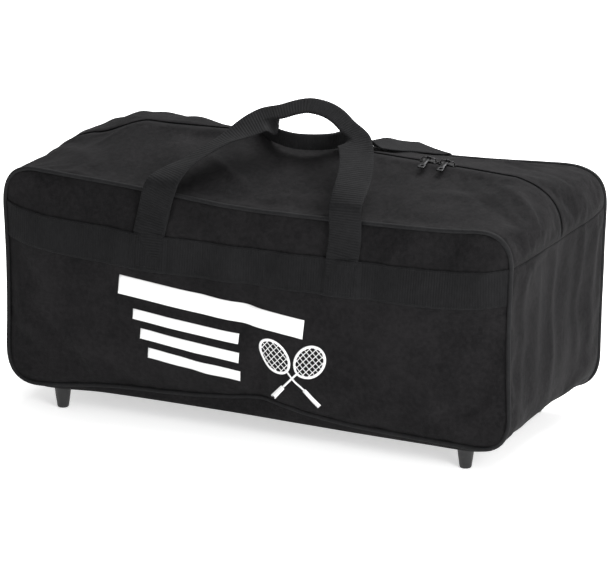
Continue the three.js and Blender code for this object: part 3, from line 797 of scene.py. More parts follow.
def strap(name, rows, thick):
    """A length of webbing through rows of points that lie on its middle surface, with rounded edges and cast-up
    ribs across it. Its UV map runs along and across the webbing in metres."""
    mesh = bmesh.new()
    cut = mesh.loops.layers.uv.new("cut")
    count, wide = len(rows), len(rows[0])
    middle = wide // 2
    travelled, across_at = [0.0], [0.0]
    for i in range(1, count):
        travelled.append(travelled[-1] + (rows[i][middle] - rows[i - 1][middle]).length)
    for j in range(1, wide):
        across_at.append(across_at[-1] + (rows[0][j] - rows[0][j - 1]).length)
    layers = ([], [])
    for i, row in enumerate(rows):
        before, after = rows[max(i - 2, 0)], rows[min(i + 2, count - 1)]
        rib = RIB_HIGH * (2 * abs(math.sin(math.pi * travelled[i] / RIB_PITCH)) - 1)
        outer, inner = [], []
        for j, point in enumerate(row):
            edge = row[min(j + 1, wide - 1)] - row[max(j - 1, 0)]
            normal = edge.cross(after[j] - before[j]).normalized()
            half = (thick / 2 + rib) * (0.55 if j in (0, wide - 1) else 1)
            outer.append(mesh.verts.new(point + normal * half))
            inner.append(mesh.verts.new(point - normal * half))
        layers[0].append(outer)
        layers[1].append(inner)
    for layer in layers:
        for i in range(count - 1):
            for j in range(wide - 1):
                face = mesh.faces.new((layer[i][j], layer[i][j + 1], layer[i + 1][j + 1], layer[i + 1][j]))
                corners = ((i, j), (i, j + 1), (i + 1, j + 1), (i + 1, j))
                for loop, (a, b) in zip(face.loops, corners):
                    loop[cut].uv = (travelled[a], across_at[b])
    for i in range(count - 1):
        for j in (0, wide - 1):
            mesh.faces.new((layers[0][i][j], layers[0][i + 1][j], layers[1][i + 1][j], layers[1][i][j]))
    for i in (0, count - 1):
        for j in range(wide - 1):
            mesh.faces.new((layers[0][i][j], layers[0][i][j + 1], layers[1][i][j + 1], layers[1][i][j]))
    bmesh.ops.recalc_face_normals(mesh, faces=mesh.faces)
    return new_piece(name, mesh, webbing_cloth)


LEG_X = 142 * MM
LOOP_SHIFT = -4.3 * MM           # the loops are sewn on a little to the left of the middle


def over_tail(x):
    """1 where the band passes over a handle's sewn tail, 0 away from it."""
    return smooth((29 * MM - abs(abs(x - LOOP_SHIFT) - LEG_X)) / (6 * MM))


band_top = {-1: front_band_top, 1: rear_band_top}
BAND_ACROSS = [0, 1.5, 6, 14, 25, 36, 44, 48.5, 50]
band_half = SEAM_X - 3.6 * MM


def band_point(side, x, down, lift=0.0):
    z = band_top[side](x) - down
    out = panel_out(side, x, z) + WEBBING_THICK / 2 + 0.2 * MM + lift + 2.4 * MM * over_tail(x)
    return Vector((x, side * out, z))


for side, name in ((-1, "front"), (1, "rear")):
    steps = round(2 * band_half / ROW_STEP)
    rows = [
        [band_point(side, -band_half + 2 * band_half * i / steps, down * MM) for down in BAND_ACROSS]
        for i in range(steps + 1)
    ]
    band = strap(f"{name}_band_webbing", rows, BAND_THICK)
    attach(band, BODY)
    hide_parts(f"{name}_band")

# ---------------------------------------------------------------- stitching
# Black bonded polyester thread, sewn in straight rows: along both edges of each band, in a crossed square
# where each handle's tail is sewn under it, and along the turned edges beside the zip.
thread = finish_of("bonded_polyester_thread", 2500.0, "#0a0a0b", "#141415", 2.0,
                   {"Roughness": 0.65, "IOR": 1.5, "Specular IOR Level": 0.25})
STITCH = 3.0 * MM
STITCH_GAP = 0.7 * MM
THREAD_RADIUS = 0.3 * MM


def sew(mesh, line):
    """Adds stitches along a line of (place, outward normal)."""
    lengths = [0.0]
    for a, b in zip(line, line[1:]):
        lengths.append(lengths[-1] + (b[0] - a[0]).length)
    k = 0

    def at(distance):
        nonlocal k
        while k < len(line) - 2 and lengths[k + 1] < distance:
            k += 1
        t = min(max((distance - lengths[k]) / max(lengths[k + 1] - lengths[k], 1e-9), 0), 1)
        return line[k][0].lerp(line[k + 1][0], t), line[k][1]

    distance = 0.0
    while distance + STITCH < lengths[-1]:
        (start, up), (end, _) = at(distance), at(distance + STITCH)
        ahead = (end - start).normalized()
        side_way = ahead.cross(up).normalized()
        rings = []
        for t, size in ((0.0, 0.25), (0.2, 0.9), (0.8, 0.9), (1.0, 0.25)):
            middle = start.lerp(end, t) + up * THREAD_RADIUS * (0.7 if 0 < t < 1 else -0.6)
            rings.append([
                mesh.verts.new(middle + (side_way * math.cos(a) + up * math.sin(a)) * THREAD_RADIUS * size)
                for a in (math.pi / 4, 3 * math.pi / 4, 5 * math.pi / 4, 7 * math.pi / 4)
            ])
        for low, high in zip(rings, rings[1:]):
            for c in range(4):
                mesh.faces.new((low[c], low[(c + 1) % 4], high[(c + 1) % 4], high[c]))
        mesh.faces.new(reversed(rings[0]))
        mesh.faces.new(rings[-1])
        distance += STITCH + STITCH_GAP


def stitched_piece(name, mesh, replaced):
    bmesh.ops.recalc_face_normals(mesh, faces=mesh.faces)
    piece = new_piece(name, mesh, thread)
    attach(piece, BODY)
    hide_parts(replaced)
    return piece


for side, name in ((-1, "front"), (1, "rear")):
    mesh = bmesh.new()
    face = BAND_THICK / 2 + 0.15 * MM
    outward = Vector((0, side, 0))
    for down in (3, 47):
        sew(mesh, [
            (band_point(side, -band_half + 3 * MM + (2 * band_half - 6 * MM) * i / 370, down * MM, face), outward)
            for i in range(371)
        ])
    for leg in (-1, 1):
        left, right = leg * LEG_X + LOOP_SHIFT - 18 * MM, leg * LEG_X + LOOP_SHIFT + 18 * MM
        box_lines = [
            ((left, 7), (right, 7)), ((right, 7), (right, 43)), ((right, 43), (left, 43)), ((left, 43), (left, 7)),
            ((left, 7), (right, 43)), ((right, 7), (left, 43)),
        ]
        for (x0, d0), (x1, d1) in box_lines:
            sew(mesh, [
                (band_point(side, x0 + (x1 - x0) * t / 16, (d0 + (d1 - d0) * t / 16) * MM, face), outward)
                for t in range(17)
            ])
    stitched_piece(f"{name}_band_stitching", mesh, f"{name}_band")

# ---------------------------------------------------------------- carrying handles
# Each handle is one length of the same webbing. Both tails are sewn under the band; the legs climb the panel
# and turn over the top edge, and the grip is the webbing folded in two along its length.
FOLD_RADIUS = 1.15 * MM
HANDLE_HALF = 23
ACROSS_HANDLE = [23, 21.8, 18.5, 15, 11.5, 8, 4.5, 1.8, 1.1, 0.4, -0.4, -1.1, -1.8, -4.5, -8, -11.5, -15, -18.5,
                 -21.8, -23]
TAIL = 42 * MM
PATH_STEPS = 4000
EVEN_OVER = 14                     # rows on each side that share one row's move off the cloth
# For each side: rise is the loop's height along the cloth; squeeze shapes its left and right shoulders; lean
# shifts its top sideways; turns are the sheet's bends as (from mm, to mm, degrees); folds say over which part
# of the rise each leg folds in two, as sines; leg_rolls and grip_roll turn the webbing about its length, in
# degrees, the legs' from roll_from over roll_over millimetres; drop is how far it may sink to lie on the cloth.
HANDLE_SHAPES = {
    -1: {"name": "front", "rise": 236 * MM, "squeeze": (1.32, 0.97), "lean": 34 * MM,
         "turns": [(0, 0, 93), (61, 85, 29.5), (150, 210, 43)], "folds": ((0.86, 0.95), (0.78, 0.91)),
         "leg_rolls": (26, 14), "grip_roll": 0, "roll_from": 65, "roll_over": 60, "drop": 0},
    1: {"name": "rear", "rise": 272 * MM, "squeeze": (1.15, 1.15), "lean": 18 * MM,
        "turns": [(0, 0, 92), (56, 80, 22), (120, 190, 5), (215, 262, -7)], "folds": ((0.64, 0.84), (0.75, 0.90)),
        "leg_rolls": (0, 17), "grip_roll": -82, "roll_from": 55, "roll_over": 35, "drop": 14 * MM},
}


def climbing_sheet(turns, length):
    """The curved sheet that a handle lies on: inward distance, height and angle at a distance from its hinge."""
    inward, height, out = 0.0, 0.0, []
    for step in range(int(length / MM) + 2):
        angle = turns[0][2]
        for start, end, to in turns[1:]:
            angle += (to - angle) * smooth((step - start) / (end - start))
        out.append((inward, height, math.radians(angle)))
        inward += MM * math.cos(out[-1][2])
        height += MM * math.sin(out[-1][2])
    return out


def section(folded):
    """The webbing's cross-section as (across, out) places: flat, or folded in two about its middle."""
    bend = FOLD_RADIUS * math.pi / 2
    angle_full = math.pi * folded
    a = HANDLE_HALF * (1 - 0.5 * folded) * MM
    b = FOLD_RADIUS * folded
    places = [(a, b)]
    for here, ahead in zip(ACROSS_HANDLE, ACROSS_HANDLE[1:]):
        middle = (here + ahead) / 2 * MM
        turn = angle_full * min(max((bend - middle) / (2 * bend), 0), 1)
        a -= math.cos(turn) * (here - ahead) * MM
        b -= math.sin(turn) * (here - ahead) * MM
        places.append((a, b))
    return places


def handle_rows(side, shape):
    """The rows of points across one handle's webbing, from tail to tail."""
    hinge_y, hinge_z = abs(hinges[side].y), hinges[side].z
    rise = shape["rise"]
    sheet = climbing_sheet(shape["turns"], rise + WEBBING)

    def centre(turn):
        c = math.cos(turn)
        bend = shape["squeeze"][0] if c > 0 else shape["squeeze"][1]
        return shape["lean"] * math.sin(turn) - LEG_X * math.copysign(abs(c) ** bend, c), rise * math.sin(turn)

    def placed(x, along, out):
        if along <= 0:
            return Vector((x, side * (hinge_y + out), hinge_z + along))
        i = min(int(along / MM), len(sheet) - 2)
        t = along / MM - i
        inward = sheet[i][0] + (sheet[i + 1][0] - sheet[i][0]) * t
        height = sheet[i][1] + (sheet[i + 1][1] - sheet[i][1]) * t
        angle = sheet[i][2] + (sheet[i + 1][2] - sheet[i][2]) * t
        return Vector((x, side * (hinge_y - inward + out * math.sin(angle)), hinge_z + height + out * math.cos(angle)))

    path = [(-LEG_X, -TAIL + MM * i, 0.0) for i in range(round(TAIL / MM))]
    for i in range(PATH_STEPS + 1):
        turn = math.pi * i / PATH_STEPS
        x, along = centre(turn)
        path.append((x, along, math.sin(turn)))
    path += [(LEG_X, -MM * (i + 1), 0.0) for i in range(round(TAIL / MM))]
    run = [0.0]
    for (x0, d0, _), (x1, d1, _) in zip(path, path[1:]):
        run.append(run[-1] + math.hypot(x1 - x0, d1 - d0))
    rows, k = [], 0
    count = round(run[-1] / ROW_STEP)
    for i in range(count + 1):
        target = run[-1] * i / count
        while k < len(run) - 2 and run[k + 1] < target:
            k += 1
        t = (target - run[k]) / max(run[k + 1] - run[k], 1e-12)
        x, along, sine = [a + (b - a) * t for a, b in zip(path[k], path[k + 1])]
        ahead, behind = path[min(k + 20, len(path) - 1)], path[max(k - 20, 0)]
        if along < 2 * MM:
            direction = Vector((0, 1 if x < 0 else -1))
        else:
            direction = Vector((ahead[0] - behind[0], ahead[1] - behind[1])).normalized()
        start, end = shape["folds"][0 if x < 60 * MM else 1]
        folded = smooth((sine - start) / (end - start))
        leg = smooth((along / MM - shape["roll_from"]) / shape["roll_over"]) * (1 - folded)
        leg *= 1 - 0.7 * smooth((along / MM - 160) / 40)
        roll = math.radians(shape["leg_rolls"][0 if x < 0 else 1] * leg + shape["grip_roll"] * folded)
        stand = HANDLE_HALF / 2 * MM * abs(math.sin(roll)) * folded
        row = []
        for a, b in section(folded):
            across = a * math.cos(roll) + b * math.sin(roll)
            out = b * math.cos(roll) - a * math.sin(roll) + stand
            row.append(placed(x + LOOP_SHIFT - direction.y * across, along + direction.x * across, out))
        rows.append(row)
    return rows


joints = {j["name"]: j for j in frame["record"]["behaviour"]["joints"]}
hinges = {
    -1: Vector(joints["front_handle_fold"]["pos_m"]),
    1: Vector(joints["rear_handle_fold"]["pos_m"]),
}
body_surfaces = [surface_tree(bpy.data.objects[n]) for n in
                 ("front_panel_cloth", "rear_panel_cloth", "top_front_cloth", "top_rear_cloth")]
seam_points = {side: [seam_line(side, SEAM_LENGTH * i / 900) for i in range(900)] for side in (-1, 1)}


def needed_push(point, gap, drop):
    """How far a point has to move out so that it clears the cloth by a gap; it may drop by so much to reach it."""
    push = -drop
    for surface in body_surfaces:
        near, normal, _, distance = surface.find_nearest(point, 40 * MM)
        if near is not None:
            push = max(push, gap - (point - near).dot(normal))
    return push


def cleared(rows, side, gap, edge_gap, drop):
    """Moves whole rows outwards until none of the webbing is in the cloth, and evens the move out along it. gap
    is kept from the cloth and edge_gap from the piping; the grip may drop to reach the cloth."""
    hinge_z = hinges[side].z
    seam = seam_points[side]
    count = len(seam)
    lines = BVHTree.FromPolygons(seam, [(i, (i + 1) % count, (i + 2) % count) for i in range(count)])
    moves, directions = [], []
    for i, row in enumerate(rows):
        before, after = rows[max(i - 3, 0)], rows[min(i + 3, len(rows) - 1)]
        normal = (row[-1] - row[0]).cross(after[0] - before[0])
        if normal.length < 1e-9 or (row[-1] - row[0]).length < 20 * MM:
            directions.append(directions[-1] if directions else Vector((0, side, 0)))
        else:
            inwards = normal.dot(Vector((0, side * 0.3, 1))) < 0
            directions.append(-normal.normalized() if inwards else normal.normalized())
        if row[0].z < hinge_z + 9 * MM and abs(row[0].y) > 0.13:
            middle = row[len(row) // 2]
            out = max(panel_out(side, point.x, point.z) for point in row)
            moves.append(out + WEBBING_THICK / 2 + 0.1 * MM - abs(middle.y))
            directions[-1] = Vector((0, side, 0))
            continue
        loose = drop if abs(row[len(row) // 2].y) < 0.145 else 0.0
        push = max(needed_push(point, gap, loose) for point in row)
        for point in row[::4]:
            near, _, _, distance = lines.find_nearest(point, 20 * MM)
            if near is not None:
                push = max(push, edge_gap - distance)
        moves.append(push)
    spread = [max(moves[max(i - 5, 0):i + 6]) for i in range(len(moves))]
    near_by = [spread[max(i - EVEN_OVER, 0):i + EVEN_OVER + 1] for i in range(len(spread))]
    return [[p + d * sum(few) / len(few) for p in row] for row, d, few in zip(rows, directions, near_by)]


for side, shape in HANDLE_SHAPES.items():
    name = shape["name"]
    rows = cleared(handle_rows(side, shape), side, 1.5 * MM, PIPING_RADIUS + 1.4 * MM, shape["drop"])
    handle = strap(f"{name}_handle_webbing", rows, WEBBING_THICK)
    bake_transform(handle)
    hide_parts(f"{name}_handle")

# ---------------------------------------------------------------- zip
# A long coil zip sewn in with its coil underneath, so only its smooth tapes show, meeting in a thin dark line.
# The tapes are sewn a little below the turned edges of the cloth.
# Black tape, coloured a little lighter than the bag cloth: painted light that lifts the shade in the slot between the
# turned edges.
zip_tape = woven("zip_tape", "#141415", "#212122", 0.7, 0.85, 0.01, 0.3, 0.05)
TAPE_LINES = [(0.15, -0.7), (0.3, -0.4), (0.9, -0.3), (2.4, -0.4), (3.2, -0.75), (3.7, -0.97), (8.0, -1.9),
              (14, -3.4), (14, -4.0), (8.0, -2.5), (3.7, -1.6), (3.0, -1.5), (1.2, -1.3), (0.25, -1.3)]
tape_steps = 330
for side, name in ((-1, "front"), (1, "rear")):
    mesh = bmesh.new()
    cut = mesh.loops.layers.uv.new("cut")
    rows = []
    for i in range(tape_steps + 1):
        along = RIGHT_END_SEAM + top_length * i / tape_steps
        rows.append([mesh.verts.new(skin(along, side * y * MM, lift * MM)) for y, lift in TAPE_LINES])
    for i in range(tape_steps):
        for k in range(len(TAPE_LINES)):
            n = (k + 1) % len(TAPE_LINES)
            face = mesh.faces.new((rows[i][k], rows[i][n], rows[i + 1][n], rows[i + 1][k]))
            for loop, (a, b) in zip(face.loops, ((i, k), (i, n), (i + 1, n), (i + 1, k))):
                loop[cut].uv = (top_length * a / tape_steps, TAPE_LINES[b][0] * MM)
    mesh.faces.new(rows[0])
    mesh.faces.new(reversed(rows[-1]))
    bmesh.ops.recalc_face_normals(mesh, faces=mesh.faces)
    tape = new_piece(f"zip_tape_{name}_cloth", mesh, zip_tape)
    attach(tape, BODY)
    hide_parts(f"zip_tape_{name}")

# The coil itself: nylon monofilament wound into interlocking loops, seen only from inside the bag.
coil_nylon = finish_of("nylon_coil", 600.0, "#161617", "#232324", 2.0, {"Roughness": 0.35, "IOR": 1.53})
mesh = bmesh.new()
COIL_PITCH = 1.6 * MM
for i in range(int(top_length / COIL_PITCH)):
    for side in (-1, 1):
        along = RIGHT_END_SEAM + (i + 0.5 + side * 0.25) * COIL_PITCH
        ring = []
        for y, lift, wide in ((-0.6, -2.5, 0.34), (0.5, -3.1, 0.36), (2.4, -3.1, 0.3), (3.1, -2.5, 0.24)):
            low = skin(along - wide * MM, side * y * MM, lift * MM)
            high = skin(along + wide * MM, side * y * MM, lift * MM)
            top = skin(along, side * y * MM, (lift + 0.45) * MM)
            ring.append([mesh.verts.new(p) for p in (low, high, top)])
        for low, high in zip(ring, ring[1:]):
            for c in range(3):
                mesh.faces.new((low[c], low[(c + 1) % 3], high[(c + 1) % 3], high[c]))
        mesh.faces.new(ring[0])
        mesh.faces.new(reversed(ring[-1]))
bmesh.ops.recalc_face_normals(mesh, faces=mesh.faces)
coil = new_piece("zip_coil_loops", mesh, coil_nylon)
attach(coil, BODY)
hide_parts("zip_coil")

# Topstitching beside the zip, a few millimetres from each turned edge.
mesh = bmesh.new()
tops = {n: surface_tree(bpy.data.objects[f"top_{n}_cloth"]) for n in ("front", "rear")}
for side, name in ((-1, "front"), (1, "rear")):
    line = []
    for i in range(401):
        along = RIGHT_END_SEAM + top_length * (0.004 + 0.992 * i / 400)
        point = skin(along, side * (ZIP_SLOT + 3.5 * MM))
        near, normal, _, _ = tops[name].find_nearest(point)
        line.append((near, normal))
    sew(mesh, line)
stitched_piece("zip_topstitching", mesh, "zip_coil")

# ---------------------------------------------------------------- sliders and pullers
# Die-cast zinc, black nickel plated. Each slider is a domed plate over the tapes with a bridge across it, and
# its puller is a flat tab with a hole, hooked round the bridge.
black_nickel = finish_of("black_nickel_die_casting", 260.0, "#0d0d0e", "#29292a", 4.0, {"Metallic": 1.0},
                         rough=(0.22, 0.42), bump=(0.2, 0.1))

slope = Vector((1, 0, RIDGE_SLOPE)).normalized()
slider_up = Vector((-RIDGE_SLOPE, 0, 1)).normalized()
SLIDER_SPACING = 27 * MM
BRIDGE_WIDE, BRIDGE_THICK = 1.6, 0.75       # half of each, in millimetres
HOLE_AT, HOLE_RADIUS = 24.5, 2.1            # the puller's hole, out from the bridge bar
TAB_SIDES = 28
BRIDGE_HEIGHT = 6.3 * MM
PULL_TILT = math.radians(12)


def edges_rounded(piece, width_mm, sharper_than):
    """Rounds a moulded or cast piece's edges where they turn by more than so many degrees."""
    rounder = piece.modifiers.new("round", "BEVEL")
    rounder.width = width_mm * MM
    rounder.segments = 2
    rounder.limit_method = "ANGLE"
    rounder.angle_limit = math.radians(sharper_than)


def loft_rings(mesh, rings, ends=True):
    """Joins rings of points, one after another, into a closed skin."""
    rows = [[mesh.verts.new(p) for p in ring] for ring in rings]
    for low, high in zip(rows, rows[1:]):
        for k in range(len(low)):
            n = (k + 1) % len(low)
            mesh.faces.new((low[k], low[n], high[n], high[k]))
    if ends:
        mesh.faces.new(reversed(rows[0]))
        mesh.faces.new(rows[-1])


for name, sign in (("left", -1), ("right", 1)):
    x = SLIDERS_X + sign * SLIDER_SPACING / 2
    origin = Vector((x, 0, ridge_height(x)))

    def on_zip(a, y, h):
        """A place on the slider: along the zip, across it and above it, in millimetres."""
        return origin + (slope * a + Vector((0, y, 0)) + slider_up * h) * MM

    mesh = bmesh.new()
    outline = [(-12, 4.2), (-10.5, 5.6), (-6, 6.0), (0, 5.0), (6, 5.6), (10, 6.5), (12, 6.0)]
    rim = outline + [(a, -y) for a, y in reversed(outline)]
    loft_rings(mesh, [
        [on_zip(a * size, y * size, h) for a, y in rim]
        for size, h in ((0.94, -0.4), (1.0, 0.2), (1.0, 1.6), (0.95, 2.3), (0.82, 2.7))
    ])
    bridge = [(-10.2, 2.0), (-9.9, 5.0), (-8.4, 6.4), (-6.0, 6.9), (-2.0, 6.6), (2.0, 6.6), (6.0, 6.9), (8.4, 6.4),
              (9.9, 5.0), (10.2, 2.0)]
    rings = []
    for k, (a, h) in enumerate(bridge):
        before, after = bridge[max(k - 1, 0)], bridge[min(k + 1, len(bridge) - 1)]
        length = math.hypot(after[0] - before[0], after[1] - before[1])
        na, nh = -(after[1] - before[1]) / length, (after[0] - before[0]) / length
        rings.append([
            on_zip(a + na * BRIDGE_THICK * math.cos(t), BRIDGE_WIDE * math.sin(t), h + nh * BRIDGE_THICK * math.cos(t))
            for t in [2 * math.pi * q / 10 for q in range(10)]
        ])
    loft_rings(mesh, rings)
    bmesh.ops.recalc_face_normals(mesh, faces=mesh.faces)
    slider = new_piece(f"slider_{name}_casting", mesh, black_nickel)
    edges_rounded(slider, 0.35, 30)
    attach(slider, f"{name}_slider")
    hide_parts(f"slider_{name}")

    def on_pull(a, out, h):
        """A place on the puller, which tilts from the bridge bar: along the zip, out along the tab, and above it."""
        y = -out * math.cos(PULL_TILT) - h * math.sin(PULL_TILT)
        rise = -out * math.sin(PULL_TILT) + h * math.cos(PULL_TILT)
        return on_zip(a, y, BRIDGE_HEIGHT / MM + rise)

    mesh = bmesh.new()
    outer, inner = [], []
    for k in range(TAB_SIDES):
        angle = 2 * math.pi * (k + 0.5) / TAB_SIDES
        ca, sa = math.cos(angle), math.sin(angle)
        across = 4.9 if sa > -0.2 else 3.4 + 1.5 * smooth((1 + sa) / 0.8)
        wide = max(abs(ca) / across, sa / 5.6, -sa / 21.5)
        outer.append((ca / wide, HOLE_AT + sa / wide))
        inner.append((HOLE_RADIUS * ca, HOLE_AT + HOLE_RADIUS * sa))
    (outer_low, outer_high), (inner_low, inner_high) = [
        [[mesh.verts.new(on_pull(a, out, h)) for a, out in points] for h in (-0.8, 0.8)] for points in (outer, inner)
    ]
    for k in range(TAB_SIDES):
        n = (k + 1) % TAB_SIDES
        mesh.faces.new((outer_low[k], outer_low[n], outer_high[n], outer_high[k]))
        mesh.faces.new((inner_low[n], inner_low[k], inner_high[k], inner_high[n]))
        mesh.faces.new((outer_high[k], outer_high[n], inner_high[n], inner_high[k]))
        mesh.faces.new((outer_low[n], outer_low[k], inner_low[k], inner_low[n]))
    loop_at = [2 * math.pi * q / 16 for q in range(16)]
    loft_rings(mesh, [
        [on_pull(a, r * math.cos(t), r * math.sin(t)) for t in loop_at]
        for a, r in ((-2.4, 1.3), (-2.8, 1.6), (-2.8, 2.2), (-2.4, 2.4), (2.4, 2.4), (2.8, 2.2), (2.8, 1.6),
                     (2.4, 1.3), (-2.4, 1.3))
    ], ends=False)
    bmesh.ops.remove_doubles(mesh, verts=mesh.verts, dist=1e-6)
    bmesh.ops.recalc_face_normals(mesh, faces=mesh.faces)
    pull = new_piece(f"pull_{name}_tab", mesh, black_nickel)
    edges_rounded(pull, 0.3, 30)
    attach(pull, f"{name}_pull")
    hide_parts(f"pull_{name}")

# ---------------------------------------------------------------- feet
# Moulded polypropylene cones, a little wider at the top, with a collar against the cloth. Each is held by a
# machine screw from below, through the base strip and the base board, with a washer and nut inside the bag.
foot_plastic, tree, shader = new_material("moulded_polypropylene")
place = add_node(tree, "ShaderNodeTexCoord")
spark = add_node(tree, "ShaderNodeTexNoise", {}, {"Vector": place.outputs["Object"], "Scale": 1400.0, "Detail": 3.0})
scuffs = add_node(tree, "ShaderNodeTexNoise", {},
                  {"Vector": place.outputs["Object"], "Scale": 160.0, "Detail": 6.0, "Roughness": 0.7})
scuffed = add_node(tree, "ShaderNodeMapRange", {},
                   {"Value": scuffs.outputs["Fac"], "From Min": 0.5, "From Max": 0.75})
shade = add_node(tree, "ShaderNodeMix", {"data_type": "RGBA"},
                 {"Factor": scuffed.outputs[0], "A": linear("#131314"), "B": linear("#29292a")})
rough = add_node(tree, "ShaderNodeMapRange", {}, {"Value": scuffs.outputs["Fac"], "To Min": 0.38, "To Max": 0.62})
texture = add_node(tree, "ShaderNodeBump", {}, {"Height": spark.outputs["Fac"], "Strength": 0.25, "Distance": 0.1 * MM})
tree.links.new(shade.outputs["Result"], shader.inputs["Base Color"])
tree.links.new(rough.outputs[0], shader.inputs["Roughness"])
tree.links.new(texture.outputs["Normal"], shader.inputs["Normal"])
shader.inputs["IOR"].default_value = 1.49

zinc_plate = finish_of("zinc_plated_steel", 420.0, "#9a9ca0", "#c6c8ca", 5.0, {"Metallic": 1.0},
                       rough=(0.25, 0.5))

FOOT_PROFILE = [(0, 12.0), (4.7, 12.0), (4.7, 1.0), (5.3, 0.3), (6.4, 0), (7.3, 0.3), (7.9, 1.1), (8.3, 2.6), (9.6, 12),
                (10.9, 22), (11.6, 28.2), (12.3, 29.2), (12.5, 30.4), (12.5, 32.6), (12.0, 33.3), (0, 33.3)]
SCREW_PROFILE = [(0, 8.9), (2.6, 9.1), (3.7, 9.9), (4.0, 10.9), (4.0, 11.7), (2.0, 11.7), (2.0, 48.0), (1.6, 48.5),
                 (0, 48.5)]


def turned(mesh, profile, x, y, sides):
    """A turned shape about an upright axis from its (radius, height) profile in millimetres."""
    rows = []
    for radius, height in profile:
        if radius == 0:
            rows.append([mesh.verts.new((x, y, height * MM))])
        else:
            rows.append([
                mesh.verts.new((x + radius * MM * math.cos(2 * math.pi * k / sides),
                                y + radius * MM * math.sin(2 * math.pi * k / sides), height * MM))
                for k in range(sides)
            ])
    for low, high in zip(rows, rows[1:]):
        for k in range(sides):
            n = (k + 1) % sides
            corners = [low[k % len(low)], low[n % len(low)], high[n % len(high)], high[k % len(high)]]
            mesh.faces.new(list(dict.fromkeys(corners)))
    bmesh.ops.recalc_face_normals(mesh, faces=mesh.faces)


for place_name in ("front_left", "front_right", "rear_left", "rear_right"):
    low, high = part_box(f"foot_{place_name}")
    x, y = (low.x + high.x) / 2, (low.y + high.y) / 2
    mesh = bmesh.new()
    turned(mesh, FOOT_PROFILE, x, y, 40)
    foot = new_piece(f"foot_{place_name}_moulding", mesh, foot_plastic)
    edges_rounded(foot, 0.3, 40)
    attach(foot, BODY)
    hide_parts(f"foot_{place_name}")

    mesh = bmesh.new()
    turned(mesh, SCREW_PROFILE, x, y, 24)
    for turn in (0, math.pi / 2):
        # The cross in the screw's head, as two sunk bars
        c, s = math.cos(turn), math.sin(turn)
        corners = [(-2.2, -0.4), (2.2, -0.4), (2.2, 0.4), (-2.2, 0.4)]
        loft_rings(mesh, [
            [Vector((x + (a * c - b * s) * MM, y + (a * s + b * c) * MM, h * MM)) for a, b in corners]
            for h in (8.85, 9.4)
        ])
    screw = new_piece(f"foot_screw_{place_name}_turned", mesh, zinc_plate)
    edges_rounded(screw, 0.15, 40)
    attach(screw, BODY)
    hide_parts(f"foot_screw_{place_name}")
    for kind in ("washer", "nut"):
        node = bpy.data.objects[f"foot_{kind}_{place_name}"]
        for slot in node.material_slots:
            slot.material = zinc_plate

# ---------------------------------------------------------------- base board
# Hardboard, brown and smooth on its upper face, with the fine fibres of pressed wood.
hardboard, tree, shader = new_material("hardboard")
place = add_node(tree, "ShaderNodeTexCoord")
stretched = add_node(tree, "ShaderNodeMapping", {}, {"Vector": place.outputs["Object"], "Scale": (1.0, 3.0, 3.0)})
fibres = add_node(tree, "ShaderNodeTexNoise", {},
                  {"Vector": stretched.outputs["Vector"], "Scale": 320.0, "Detail": 8.0, "Roughness": 0.7})
shade = add_node(tree, "ShaderNodeMix", {"data_type": "RGBA"},
                 {"Factor": fibres.outputs["Fac"], "A": linear("#4b3424"), "B": linear("#7c5a3e")})
pressed = add_node(tree, "ShaderNodeBump", {}, {"Height": fibres.outputs["Fac"], "Strength": 0.2, "Distance": 0.2 * MM})
tree.links.new(shade.outputs["Result"], shader.inputs["Base Color"])
tree.links.new(pressed.outputs["Normal"], shader.inputs["Normal"])
shader.inputs["Roughness"].default_value = 0.6
for slot in bpy.data.objects["base_board"].material_slots:
    slot.material = hardboard

# ---------------------------------------------------------------- printed device
# Screen printed on the front panel in thick white ink: plain bars beside two crossed rackets. The ink fills
# the weave, so it is smoother than the cloth and takes its folds.
white_ink = finish_of("screen_print_ink", 1100.0, "#e2e2e2", "#f6f6f6", 3.0, {"Roughness": 0.65},
                      bump=(0.3, 0.1))

mesh = bmesh.new()
INK = 0.18 * MM


def on_panel(x, z):
    return Vector((x * MM, -panel_out(-1, x * MM, z * MM) - INK, z * MM))


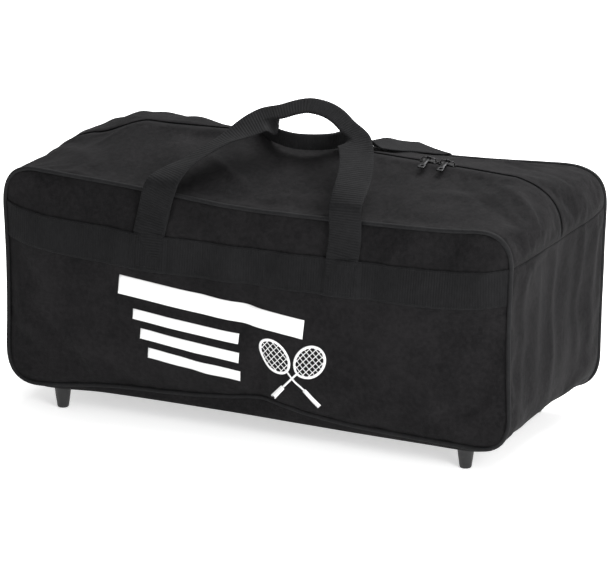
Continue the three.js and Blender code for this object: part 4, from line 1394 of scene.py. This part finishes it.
def printed_bar(points, widths, cross=1):
    """A stroke of ink along (x, z) points in millimetres, as wide as widths say at each end."""
    count = max(2, round(sum(math.dist(a, b) for a, b in zip(points, points[1:])) / 4))
    lengths = [0.0]
    for a, b in zip(points, points[1:]):
        lengths.append(lengths[-1] + math.dist(a, b))
    rows = []
    for i in range(count + 1):
        target = lengths[-1] * i / count
        k = max(j for j in range(len(points) - 1) if lengths[j] <= target + 1e-9)
        (x0, z0), (x1, z1) = points[k], points[k + 1]
        t = (target - lengths[k]) / (lengths[k + 1] - lengths[k])
        nx, nz = -(z1 - z0) / math.dist(points[k], points[k + 1]), (x1 - x0) / math.dist(points[k], points[k + 1])
        wide = widths[0] + (widths[1] - widths[0]) * i / count
        rows.append([
            mesh.verts.new(on_panel(x0 + (x1 - x0) * t + nx * wide * (c / cross - 0.5),
                                    z0 + (z1 - z0) * t + nz * wide * (c / cross - 0.5)))
            for c in range(cross + 1)
        ])
    for a, b in zip(rows, rows[1:]):
        for c in range(cross):
            mesh.faces.new((a[c], a[c + 1], b[c + 1], b[c]))


printed_bar([(-190, 203), (84, 173)], (27, 27), 6)
for left, high in ((-170, 163), (-160, 136), (-150, 109)):
    printed_bar([(left, high), (-14, high - 17)], (15, 15), 3)
CROSSING = (66, 102)                # where the two shafts cross
HEAD_UP, HEAD_LONG, HEAD_WIDE = 38, 26, 19
STRING_GAPS = (6.4, 6.8)
for lean in (-1, 1):
    tilt = math.radians(45) * lean

    def racket(a, b):
        """A place on a racket: up along its shaft from the crossing, and across."""
        return (CROSSING[0] + a * math.sin(tilt) + b * math.cos(tilt),
                CROSSING[1] + a * math.cos(tilt) - b * math.sin(tilt))

    turns = [2 * math.pi * q / 40 for q in range(41)]
    printed_bar([racket(HEAD_UP + HEAD_LONG * math.cos(t), HEAD_WIDE * math.sin(t)) for t in turns], (3.6, 3.6))
    for q in range(-2, 3):
        at = q * STRING_GAPS[0]
        reach = HEAD_LONG * math.sqrt(1 - (at / HEAD_WIDE) ** 2)
        printed_bar([racket(HEAD_UP - reach, at), racket(HEAD_UP + reach, at)], (0.9, 0.9))
    for q in range(-3, 4):
        at = q * STRING_GAPS[1]
        reach = HEAD_WIDE * math.sqrt(1 - (at / HEAD_LONG) ** 2)
        printed_bar([racket(HEAD_UP + at, -reach), racket(HEAD_UP + at, reach)], (0.9, 0.9))
    printed_bar([racket(12, 0), racket(-22, 0)], (2.8, 2.8))
    printed_bar([racket(-22, 0), racket(-52, 0)], (6.6, 7.6))
bmesh.ops.recalc_face_normals(mesh, faces=mesh.faces)
device = new_piece("front_printed_device", mesh, white_ink)
ink_wall = device.modifiers.new("ink", "SOLIDIFY")
ink_wall.thickness = INK
ink_wall.offset = 0
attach(device, BODY)
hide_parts("front_panel")
